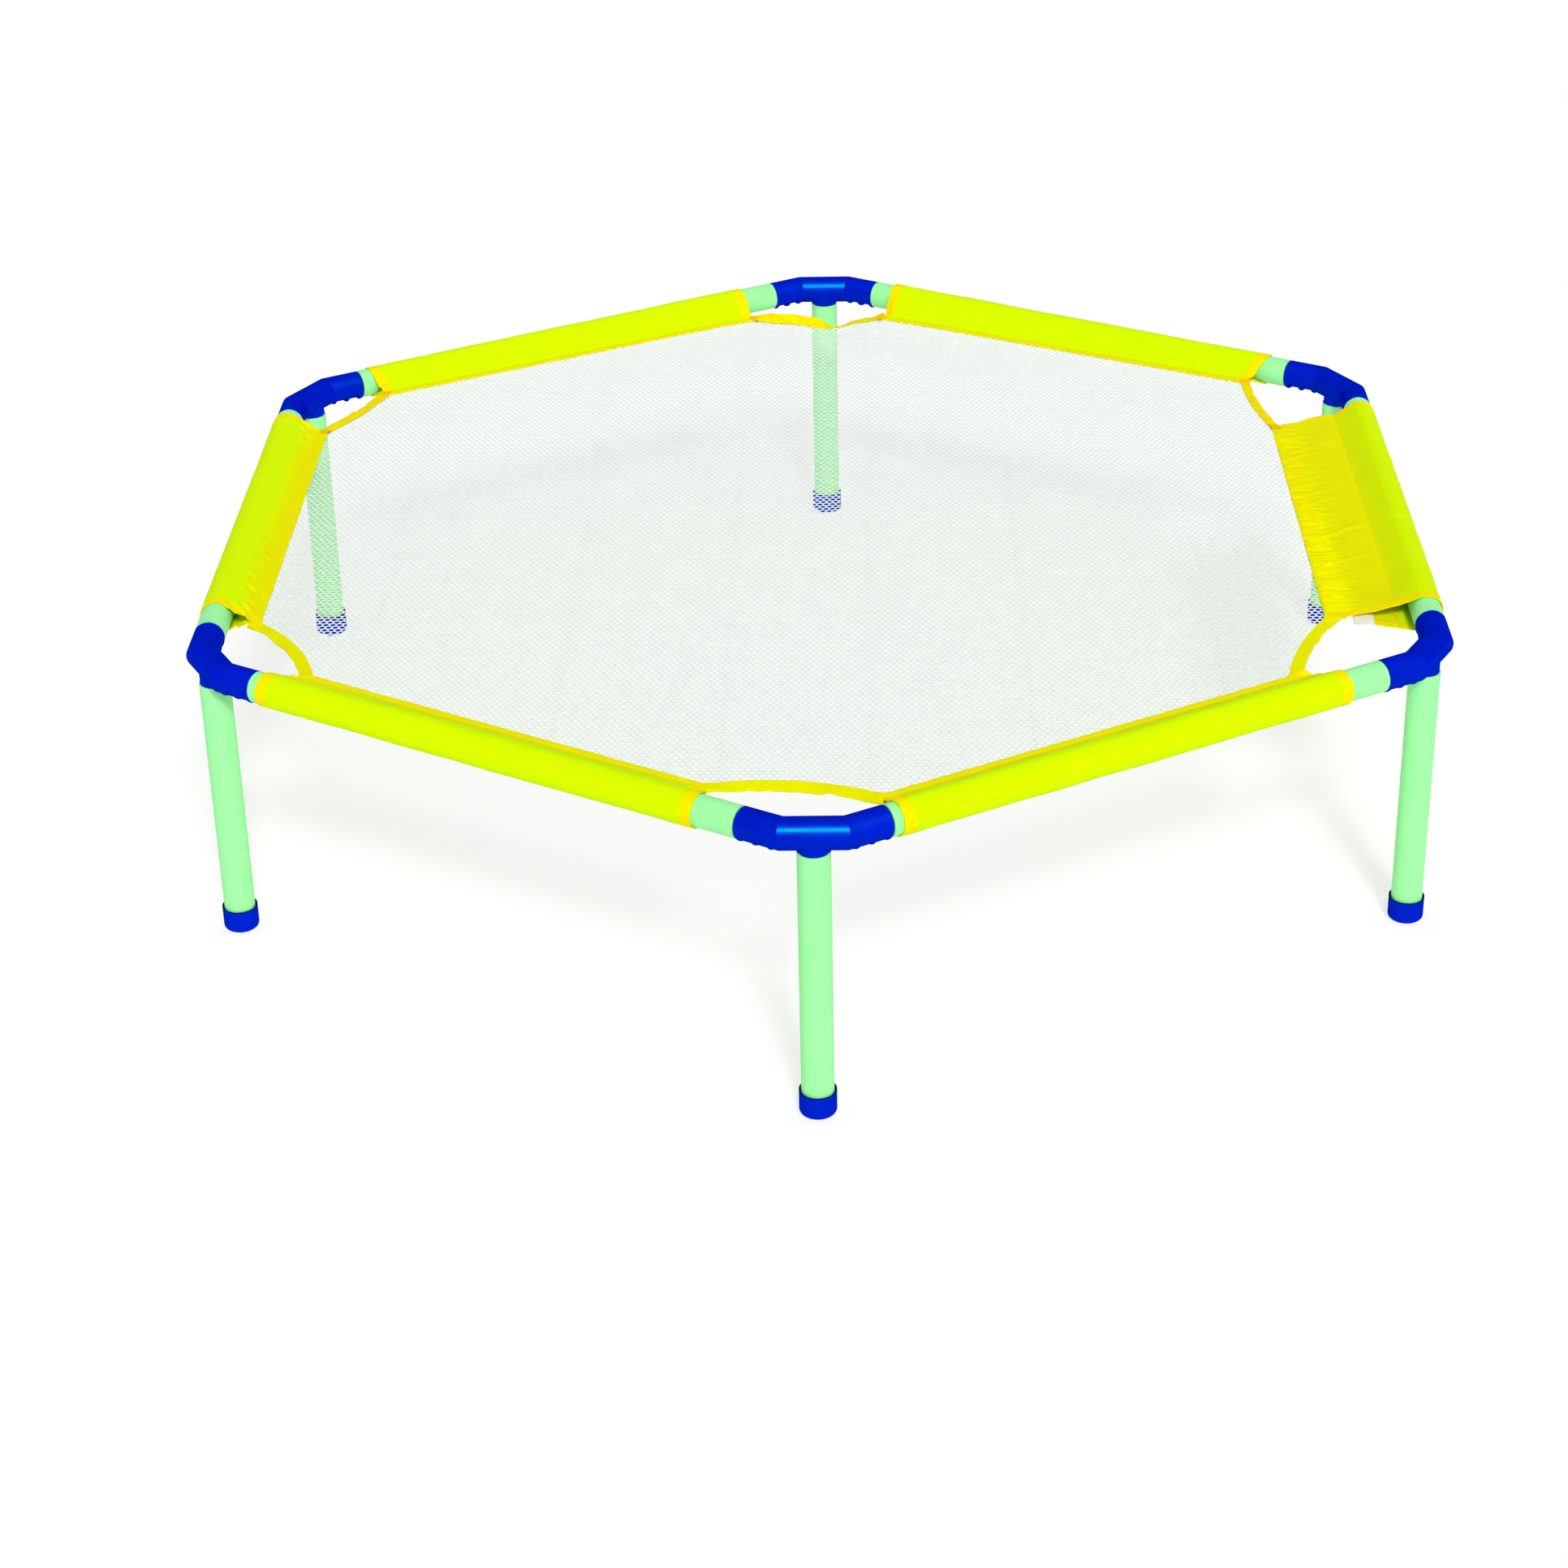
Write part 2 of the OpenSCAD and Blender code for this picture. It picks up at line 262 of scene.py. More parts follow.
@dataclass(frozen=True)
class Cut:
    """One corner cut of the net: an arc from the sleeve before a corner to the one after it."""

    centre: np.ndarray
    radius: float
    start: float
    sweep: float

    def at(self, t: np.ndarray, shift: np.ndarray) -> np.ndarray:
        """Points on the arc, or beside it.

        Args:
            t: Share of the sweep.
            shift: Distance out from the arc, away from its centre.

        Returns:
            Points seen from above.
        """
        angle = self.start + self.sweep * t
        way = np.stack([np.cos(angle), np.sin(angle)], -1)
        return self.centre + (self.radius + shift)[..., None] * way

    @property
    def length(self) -> float:
        """Length of the arc."""
        return self.radius * abs(self.sweep)


@dataclass(frozen=True)
class RingPlan:
    """The ring's sizes: six sides and six corners, numbered anticlockwise from the front corner."""

    across_flats: float = 1250.0
    height: float = 306.0
    middle_length: float = 60.0
    arm_length: float = 42.0
    # How far each corner cut's middle lies inside the straight line between its ends
    corner_hollow: tuple[float, ...] = (15.0, 7.0, 5.0, 11.0, 5.0, 11.0)
    # From each tube's axis to the net's edge
    reach: tuple[float, ...] = (45.0, 105.0, 48.0, 45.0, 49.0, 45.0)
    # Bare tube before and after each sleeve
    bare: tuple[tuple[float, float], ...] = (
        (10.0, 46.0), (30.0, 17.0), (27.0, 28.0), (45.0, 14.0), (15.0, 44.0), (12.0, 46.0),
    )
    # How much further in each sleeve starts and stops at the net than on the tube
    drawn_in: tuple[tuple[float, float], ...] = (
        (12.0, 18.0), (-16.0, 32.0), (12.0, 6.0), (4.0, 4.0), (16.0, -18.0), (22.0, 20.0),
    )
    # How far before a sleeve's stop its corner cut begins
    inset: tuple[float, ...] = (13.0, 0.0, 0.0, 0.0, 0.0, 0.0)
    # How far a slack net edge hangs at its start and stop
    edge_drop: tuple[tuple[float, float], ...] = (
        (0.0, 0.0), (0.0, 0.0), (1.0, 12.0), (9.0, 2.0), (0.0, 0.0), (0.0, 0.0),
    )
    drop_over: float = 160.0
    # Hollows in the net: x, y, depth and radius
    dips: tuple[tuple[float, ...], ...] = ((-15.0, 605.0, 4.5, 75.0), (6.0, 590.0, 9.0, 26.0))

    @property
    def half_side(self) -> float:
        """Half the length of a side between the corners of the tubes' axes."""
        return self.across_flats / math.sqrt(3) / 2

    def heading(self, side: int) -> float:
        """Angle of the outward direction of a side, in radians."""
        return math.radians(60 * side - 60)

    def place(self, side: int, points: np.ndarray) -> np.ndarray:
        """Puts points of a side's own frame in the shared frame: moved out, turned by its heading.

        Args:
            side: Number of the side.
            points: Points (outward, along, up), from the middle of the tube's axis.

        Returns:
            Points (x, y, z).
        """
        c, s = math.cos(self.heading(side)), math.sin(self.heading(side))
        x = points[..., 0] + self.across_flats / 2
        y, z = points[..., 1], points[..., 2] + self.height
        return np.stack([x * c - y * s, x * s + y * c, z], -1)

    def inside(self, side: int, points: np.ndarray) -> np.ndarray:
        """Distance of points seen from above from a side's net edge, positive over the net."""
        out = np.array([math.cos(self.heading(side)), math.sin(self.heading(side))])
        return self.across_flats / 2 - self.reach[side] - points @ out

    def level(self, points: np.ndarray) -> np.ndarray:
        """Height of the net's plane over the tubes' axes.

        A slack edge lies lower, by an amount that changes along it and fades out inwards, and a
        dip is a bell-shaped hollow.

        Args:
            points: Points seen from above.

        Returns:
            Heights, zero or less.
        """
        depths = []
        for side, (first, last) in enumerate(self.edge_drop):
            turn, half = self.heading(side), self.half_side
            share = (points @ np.array([-math.sin(turn), math.cos(turn)]) + half) / (2 * half)
            drop = first + (last - first) * np.clip(share, 0, 1)
            depths.append(drop * (1 - smooth(self.inside(side, points) / self.drop_over)))
        depth = np.max(depths, axis=0)
        for x, y, deep, radius in self.dips:
            depth = depth + deep * np.exp(-((points - [x, y]) ** 2).sum(-1) / radius**2)
        return -depth

    def tube_span(self, side: int) -> tuple[float, float]:
        """Where a sleeve starts and stops on its tube, past the connectors' arms and the bare tube.

        Args:
            side: Number of the side.

        Returns:
            Places along the side.
        """
        arm_end = self.middle_length / math.sqrt(3) + self.arm_length
        before, after = self.bare[side]
        return -self.half_side + arm_end + before, self.half_side - arm_end - after

    def net_span(self, side: int) -> tuple[float, float]:
        """Where a sleeve starts and stops at the net."""
        start, stop = self.tube_span(side)
        return start + self.drawn_in[side][0], stop - self.drawn_in[side][1]

    def net_corner(self, side: int, end: int) -> np.ndarray:
        """Where a corner cut meets a sleeve's net edge, seen from above: end 0 or 1 of the edge."""
        along = self.net_span(side)[end] - end * self.inset[side]
        return self.place(side, np.array([-self.reach[side], along, 0.0]))[:2]

    def cut(self, corner: int) -> Cut:
        """The arc at a corner, of radius ((span / 2)^2 + hollow^2) / (2 hollow).

        Args:
            corner: Number of the corner.

        Returns:
            The arc.
        """
        first = self.net_corner((corner + 5) % 6, 1)
        last = self.net_corner(corner, 0)
        hollow = self.corner_hollow[corner]
        span = float(np.linalg.norm(last - first))
        radius = ((span / 2) ** 2 + hollow**2) / (2 * hollow)
        way = (last - first) / span
        centre = (first + last) / 2 + (radius - hollow) * np.array([way[1], -way[0]])
        a, b = (math.atan2(*(p - centre)[::-1]) for p in (first, last))
        return Cut(centre, radius, a, (b - a + math.pi) % math.tau - math.pi)

    def room(self, points: np.ndarray) -> np.ndarray:
        """Distance to the net's nearest edge: the least over its sides and corner cuts.

        Args:
            points: Points seen from above.

        Returns:
            Distances, positive inside.
        """
        edges = [self.inside(side, points) for side in range(6)]
        cuts = [self.cut(corner) for corner in range(6)]
        arcs = [np.linalg.norm(points - cut.centre, axis=-1) - cut.radius for cut in cuts]
        return np.min(edges + arcs, axis=0)


# ---- Finishes ----


def linear(code: str) -> tuple[float, float, float, float]:
    """Turns an sRGB colour to linear: (c / 12.92), or ((c + 0.055) / 1.055)^2.4 above 0.04045.

    Args:
        code: The colour as a hex value, such as "#A8FFAC".

    Returns:
        Linear red, green, blue and alpha.
    """
    parts = [int(code[k : k + 2], 16) / 255 for k in (1, 3, 5)]
    r, g, b = (p / 12.92 if p <= 0.04045 else ((p + 0.055) / 1.055) ** 2.4 for p in parts)
    return r, g, b, 1.0


def feed(tree: bpy.types.NodeTree, node: bpy.types.Node, inputs: dict) -> None:
    """Gives a node's sockets their values and links.

    Args:
        tree: Node tree that holds the node.
        node: The node.
        inputs: Socket name or number, and the value or the output socket that feeds it.
    """
    for key, value in inputs.items():
        if isinstance(value, bpy.types.NodeSocket):
            tree.links.new(value, node.inputs[key])
        else:
            node.inputs[key].default_value = value


def add(
    tree: bpy.types.NodeTree, kind: str, inputs: dict | None = None, **settings: object
) -> bpy.types.Node:
    """Adds a node with its settings, values and links.

    Args:
        tree: Node tree that gets the node.
        kind: Blender's name of the node type.
        inputs: Socket name or number, and the value or the output socket that feeds it.
        **settings: Properties of the node itself.

    Returns:
        The new node.
    """
    node = tree.nodes.new(kind)
    for key, value in settings.items():
        setattr(node, key, value)
    feed(tree, node, inputs or {})
    return node


def band_scale(period_mm: float) -> float:
    """Scale of a Wave texture whose bands repeat at this period: sin(20 * scale * x)."""
    return math.tau / (20 * period_mm * MM)


def grain_scale(size_mm: float) -> float:
    """Scale of a Noise texture whose grains are about this size."""
    return 1 / (size_mm * MM)


def shader(name: str) -> tuple[bpy.types.Material, bpy.types.NodeTree, bpy.types.Node]:
    """Makes a new material.

    Args:
        name: Its name.

    Returns:
        The material, its node tree and its main shader.
    """
    material = bpy.data.materials.new(name)
    material.use_nodes = True
    return material, material.node_tree, material.node_tree.nodes["Principled BSDF"]


@dataclass(frozen=True)
class MouldedPolypropylene:
    """Injection-moulded polypropylene, coloured through.

    The polished mould gives a glossy skin with a faint orange peel of about a millimetre, and
    handling leaves slightly duller patches a few centimetres wide. Light that enters the blue
    plastic comes back azure beside the highlight, so the highlight itself is tinted.
    """

    name: str = "polypropylene_moulded"
    colour: str = "#020AD8"
    deep_colour: str = "#0103A4"
    sheen_colour: str = "#10C8FF"
    roughness: float = 0.35
    gloss: float = 0.026
    roughness_spread: tuple[float, float] = (-0.04, 0.05)
    peel_mm: float = 1.2
    peel_depth_mm: float = 0.06
    patch_mm: float = 30.0
    # Painted shade on a foot cap's rim: from this height up the blue turns nearly black
    rim_shade_from_mm: float | None = None
    rim_shade_colour: str = "#000026"

    def make(self) -> bpy.types.Material:
        """Builds the material: two close blues, patchy gloss, fine peel, and any painted shade on a
        cap's rim.

        Returns:
            The material.
        """
        material, tree, main = shader(self.name)
        where = add(tree, "ShaderNodeTexCoord").outputs["Object"]
        noise = {"Vector": where, "Scale": grain_scale(self.patch_mm), "Detail": 3.0}
        patches = add(tree, "ShaderNodeTexNoise", noise).outputs["Fac"]
        blues = {0: patches, 6: linear(self.deep_colour), 7: linear(self.colour)}
        colour = add(tree, "ShaderNodeMix", blues, data_type="RGBA").outputs[2]
        # Painted shade: a foot cap's rim turns nearly black, for the shadow in the gap round the
        # tube
        if self.rim_shade_from_mm is not None:
            height = add(tree, "ShaderNodeSeparateXYZ", {0: where}).outputs["Z"]
            low, high = (self.rim_shade_from_mm - 0.5) * MM, self.rim_shade_from_mm * MM
            rim = add(tree, "ShaderNodeMapRange", {0: height, 1: low, 2: high}).outputs[0]
            rim_shaded = {0: rim, 6: colour, 7: linear(self.rim_shade_colour)}
            colour = add(tree, "ShaderNodeMix", rim_shaded, data_type="RGBA").outputs[2]
        smoothest, dullest = (self.roughness + change for change in self.roughness_spread)
        dullness = {0: patches, **NOISE_SPAN, 3: smoothest, 4: dullest}
        gloss = add(tree, "ShaderNodeMapRange", dullness).outputs[0]
        noise = {"Vector": where, "Scale": grain_scale(self.peel_mm), "Detail": 1.0}
        peel = add(tree, "ShaderNodeTexNoise", noise).outputs["Fac"]
        dents = {"Height": peel, "Strength": 0.25, "Distance": self.peel_depth_mm * MM}
        relief = add(tree, "ShaderNodeBump", dents).outputs["Normal"]
        feed(tree, main, {"Base Color": colour, "Normal": relief, "Specular IOR Level": 0.0})
        azure = {"Color": linear(self.sheen_colour), "Roughness": gloss, "Normal": relief}
        skin = add(tree, "ShaderNodeBsdfAnisotropic", azure).outputs[0]
        both = add(tree, "ShaderNodeMixShader", {0: self.gloss, 1: main.outputs[0], 2: skin})
        feed(tree, tree.nodes["Material Output"], {"Surface": both.outputs[0]})
        return material


@dataclass(frozen=True)
class ExtrudedTube:
    """Extruded PVC tube in mint.

    The die leaves very faint lines along the tube and a satin skin, and the colour varies a
    little along the length.
    """

    name: str = "pvc_extruded"
    colour: str = "#A2FCA6"
    shade_colour: str = "#9AF6A0"
    sheen_colour: str = "#D8FFD8"
    roughness: float = 0.42
    roughness_spread: tuple[float, float] = (-0.03, 0.04)
    gloss: float = 0.06
    ior: float = 1.53
    line_mm: float = 0.8
    line_depth_mm: float = 0.03
    line_length_mm: float = 60.0
    cloud_mm: float = 70.0

    def make(self, turn_deg: float | None) -> bpy.types.Material:
        """Builds the material for tubes that lie at one angle.

        Args:
            turn_deg: Angle of the tube seen from above, or None for an upright tube.

        Returns:
            The material, with its lines along the tube.
        """
        upright = turn_deg is None
        material, tree, main = shader(self.name + ("_upright" if upright else f"_{turn_deg:.0f}"))
        where = add(tree, "ShaderNodeTexCoord").outputs["Object"]
        back = {"Vector": where, "Angle": 0.0 if upright else -math.radians(turn_deg)}
        turned = add(tree, "ShaderNodeVectorRotate", back, rotation_type="Z_AXIS").outputs[0]
        fine, long = grain_scale(self.line_mm), grain_scale(self.line_length_mm)
        stretch = {0: turned, 1: (fine, fine, long) if upright else (long, fine, fine)}
        drawn = add(tree, "ShaderNodeVectorMath", stretch, operation="MULTIPLY").outputs[0]
        noise = {"Vector": drawn, "Scale": 1.0, "Detail": 1.0}
        lines = add(tree, "ShaderNodeTexNoise", noise).outputs["Fac"]
        noise = {"Vector": where, "Scale": grain_scale(self.cloud_mm), "Detail": 2.0}
        cloud = add(tree, "ShaderNodeTexNoise", noise).outputs["Fac"]
        mints = {0: cloud, 6: linear(self.shade_colour), 7: linear(self.colour)}
        smoothest, dullest = (self.roughness + change for change in self.roughness_spread)
        dullness = {0: lines, **NOISE_SPAN, 3: smoothest, 4: dullest}
        grooves = {"Height": lines, "Strength": 0.2, "Distance": self.line_depth_mm * MM}
        surface = {
            "Base Color": add(tree, "ShaderNodeMix", mints, data_type="RGBA").outputs[2],
            "Roughness": add(tree, "ShaderNodeMapRange", dullness).outputs[0],
            "Normal": add(tree, "ShaderNodeBump", grooves).outputs["Normal"],
            "IOR": self.ior,
            "Specular IOR Level": self.gloss,
            "Specular Tint": linear(self.sheen_colour),
        }
        feed(tree, main, surface)
        return material


@dataclass(frozen=True)
class WovenPolyester:
    """Plain-woven polyester cloth, dyed yellow.

    Light passes through it a little, so it is greener over the mint tube, warmer where it hangs
    free and golden where it is doubled; deep in a fold it is orange, which is painted shade.
    The weave of 0.5 mm threads is drawn at 1 mm, because finer it wouldn't show.
    """

    name: str = "polyester_woven"
    over_tube: str = "#D8FF00"
    free: str = "#EBEB00"
    doubled: str = "#F8EA00"
    # Painted shade: the orange deep in a fold
    fold_shade: str = "#F4C600"
    sheen_colour: str = "#FFFF40"
    thread_mm: float = 1.0
    thread_depth_mm: float = 0.15
    thread_dimming: tuple[float, float] = (0.96, 1.02)
    cloud_mm: float = 35.0
    cloud_dimming: tuple[float, float] = (0.975, 1.01)
    roughness: float = 0.72
    gloss: float = 0.03
    sheer: float = 0.4
    sheer_depth_mm: float = 0.8
    sheer_spread: tuple[float, float, float] = (1.0, 1.0, 0.1)
    ribbed: bool = False

    def make(self) -> bpy.types.Material:
        """Builds the material: colour by the tone attribute, weave and cloudiness by the UV map.

        Returns:
            The material.
        """
        material, tree, main = shader(self.name)
        cloth = add(tree, "ShaderNodeUVMap", uv_map=UV_NAME).outputs["UV"]
        tone = add(tree, "ShaderNodeAttribute", attribute_name=TONE_NAME).outputs["Fac"]
        share = add(tree, "ShaderNodeMath", {0: tone, 1: 1 / 3}, operation="MULTIPLY").outputs[0]
        ramp = add(tree, "ShaderNodeValToRGB", {0: share})
        stops = ramp.color_ramp.elements
        # The last stop is the painted shade deep in a fold
        stops[0].color, stops[1].color = linear(self.over_tube), linear(self.fold_shade)
        stops.new(1 / 3).color = linear(self.free)
        stops.new(2 / 3).color = linear(self.doubled)
        wave = {"Vector": cloth, "Scale": band_scale(self.thread_mm)}
        wave.update({"Distortion": 0.4, "Detail Scale": 2.0})
        weave = add(tree, "ShaderNodeTexWave", wave, bands_direction="X").outputs["Fac"]
        if not self.ribbed:
            weft = add(tree, "ShaderNodeTexWave", wave, bands_direction="Y").outputs["Fac"]
            crossed = {0: weave, 1: weft}
            weave = add(tree, "ShaderNodeMath", crossed, operation="MULTIPLY").outputs[0]
        noise = {"Vector": cloth, "Scale": grain_scale(self.cloud_mm), "Detail": 4.0}
        cloud = add(tree, "ShaderNodeTexNoise", noise).outputs["Fac"]
        dim = {0: cloud, **NOISE_SPAN, 3: self.cloud_dimming[0], 4: self.cloud_dimming[1]}
        dim = add(tree, "ShaderNodeMapRange", dim).outputs[0]
        grain = {0: weave, 3: self.thread_dimming[0], 4: self.thread_dimming[1]}
        grain = add(tree, "ShaderNodeMapRange", grain).outputs[0]
        level = add(tree, "ShaderNodeMath", {0: dim, 1: grain}, operation="MULTIPLY").outputs[0]
        dyed = {0: ramp.outputs["Color"], 1: level}
        threads = {"Height": weave, "Strength": 0.35, "Distance": self.thread_depth_mm * MM}
        surface = {
            "Base Color": add(tree, "ShaderNodeVectorMath", dyed, operation="MULTIPLY").outputs[0],
            "Normal": add(tree, "ShaderNodeBump", threads).outputs["Normal"],
            "Roughness": self.roughness,
            "Specular IOR Level": self.gloss,
            "Specular Tint": linear(self.sheen_colour),
            "Subsurface Weight": self.sheer,
            "Subsurface Radius": self.sheer_spread,
            "Subsurface Scale": self.sheer_depth_mm * MM,
        }
        feed(tree, main, surface)
        return material


@dataclass(frozen=True)
class SpunThread:
    """Spun polyester thread: matt, with a twist too fine to see, so only its tone varies."""

    name: str = "polyester_thread"
    colour: str = "#EDF5EF"
    dark_colour: str = "#E1EDE5"
    roughness: float = 0.65
    gloss: float = 0.2
    twist_mm: float = 0.7
    twist_depth_mm: float = 0.1
    cloud_mm: float = 9.0

    def make(self) -> bpy.types.Material:
        """Builds the material: two close tones and a fine twisted grain.

        Returns:
            The material.
        """
        material, tree, main = shader(self.name)
        where = add(tree, "ShaderNodeTexCoord").outputs["Object"]
        noise = {"Vector": where, "Scale": grain_scale(self.cloud_mm), "Detail": 3.0}
        cloud = add(tree, "ShaderNodeTexNoise", noise).outputs["Fac"]
        tones = {0: cloud, 6: linear(self.dark_colour), 7: linear(self.colour)}
        noise = {"Vector": where, "Scale": grain_scale(self.twist_mm), "Detail": 1.0}
        twist = add(tree, "ShaderNodeTexNoise", noise).outputs["Fac"]
        strands = {"Height": twist, "Strength": 0.3, "Distance": self.twist_depth_mm * MM}
        surface = {
            "Base Color": add(tree, "ShaderNodeMix", tones, data_type="RGBA").outputs[2],
            "Normal": add(tree, "ShaderNodeBump", strands).outputs["Normal"],
            "Roughness": self.roughness,
            "Specular IOR Level": self.gloss,
        }
        feed(tree, main, surface)
        return material


@dataclass(frozen=True)
class LoopTape:
    """Hook-and-loop tape: a pale nap of tiny loops, drawn 1.2 mm wide so that it shows."""

    name: str = "nylon_loop_tape"
    colour: str = "#F8F4E4"
    dark_colour: str = "#E0DAC0"
    roughness: float = 0.85
    nap: float = 0.3
    loop_mm: float = 1.2
    loop_depth_mm: float = 0.3

    def make(self) -> bpy.types.Material:
        """Builds the material: loops as small cells, with painted shade, lighter on top and darker
        between.

        Returns:
            The material.
        """
        material, tree, main = shader(self.name)
        cloth = add(tree, "ShaderNodeUVMap", uv_map=UV_NAME).outputs["UV"]
        cells = {"Vector": cloth, "Scale": grain_scale(self.loop_mm)}
        loops = add(tree, "ShaderNodeTexVoronoi", cells).outputs["Distance"]
        # Painted shade: each loop lighter on top and darker between the loops
        tones = {0: loops, 6: linear(self.colour), 7: linear(self.dark_colour)}
        curls = {"Height": loops, "Strength": 0.6, "Distance": self.loop_depth_mm * MM}
        surface = {
            "Base Color": add(tree, "ShaderNodeMix", tones, data_type="RGBA").outputs[2],
            "Normal": add(tree, "ShaderNodeBump", curls, invert=True).outputs["Normal"],
            "Roughness": self.roughness,
            "Sheen Weight": self.nap,
        }
        feed(tree, main, surface)
        return material


class Slot(Enum):
    """The record's material slots for the cloth."""

    SLEEVE = "sleeve_cloth"
    BINDING = "binding_cloth"
    NET = "net_mesh"
    TAPE = "closure_tape"


def finish_piece(
    piece: bpy.types.Object, material: bpy.types.Material, replaced: str | None = None
) -> None:
    """Gives a piece its material and body, and reports it.

    Args:
        piece: The piece.
        material: Its material.
        replaced: The CAD node that it stands for, if there is one.
    """
    piece.data.materials.append(material)
    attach(piece, RING_BODY)
    if replaced:
        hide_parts(replaced)
    log.info("%s: %d faces", piece.name, len(piece.data.polygons))


# ---- Stitches ----


@dataclass(frozen=True)
class StitchLine:
    """A sewn line: at a distance from a hem's edge, or at a distance outward of the tube's axis."""

    place: float
    on_hem: bool = False
    layers: tuple[int, ...] = (1, -1)


def distance_along(line: np.ndarray) -> np.ndarray:
    """Distance of each point of a line from its first point, measured along the line."""
    return np.concatenate([[0.0], np.cumsum(np.linalg.norm(np.diff(line, axis=0), axis=1))])


def stitches_along(
    line: np.ndarray, pitch: float = 3.1
) -> tuple[np.ndarray, np.ndarray, np.ndarray]:
    """Divides a line on a cloth evenly into stitches.

    Args:
        line: Points of the line, each with the cloth's normal there, six numbers a row.
        pitch: Distance between the stitches' middles.

    Returns:
        Middle, direction and up of each stitch.
    """
    distance = distance_along(line[:, :3])
    places = np.arange(pitch / 2, distance[-1] - pitch / 2, pitch)
    centre, ahead = (
        np.stack([np.interp(at, distance, line[:, k]) for k in range(6)], 1)
        for at in (places, places + pitch / 3)
    )
    up = unit(centre[:, 3:])
    way = unit(ahead[:, :3] - centre[:, :3])
    return centre[:, :3], unit(way - up * np.einsum("ij,ij->i", way, up)[:, None]), up


def line_where(surface: np.ndarray, gap: np.ndarray) -> np.ndarray:
    """Follows a line on a grid surface: in each column, the point between two rows where gap is 0.

    Args:
        surface: Rows by columns of numbers for each point.
        gap: Distance past the line at each point, which grows along the rows.

    Returns:
        One point a column.
    """
    below = np.clip((gap < 0).sum(0) - 1, 0, len(gap) - 2)
    column = np.arange(surface.shape[1])
    low, high = gap[below, column], gap[below + 1, column]
    share = np.clip(-low / np.where(high == low, 1, high - low), 0, 1)[:, None]
    return surface[below, column] * (1 - share) + surface[below + 1, column] * share


# ---- Sleeves ----


@dataclass(frozen=True)
class Spread:
    """Cloth laid out plainly on a grid along one side, as arrays of rows by columns.

    x is outward of the tube's axis and z above it, along is the place along the side, near holds
    the distances from the cloth's start and to its stop, and across that across the cloth.
    """

    x: np.ndarray
    z: np.ndarray
    along: np.ndarray
    near: np.ndarray
    across: np.ndarray

    @property
    def end(self) -> np.ndarray:
        """Distance to the nearest end of the cloth."""
        return self.near.min(0)


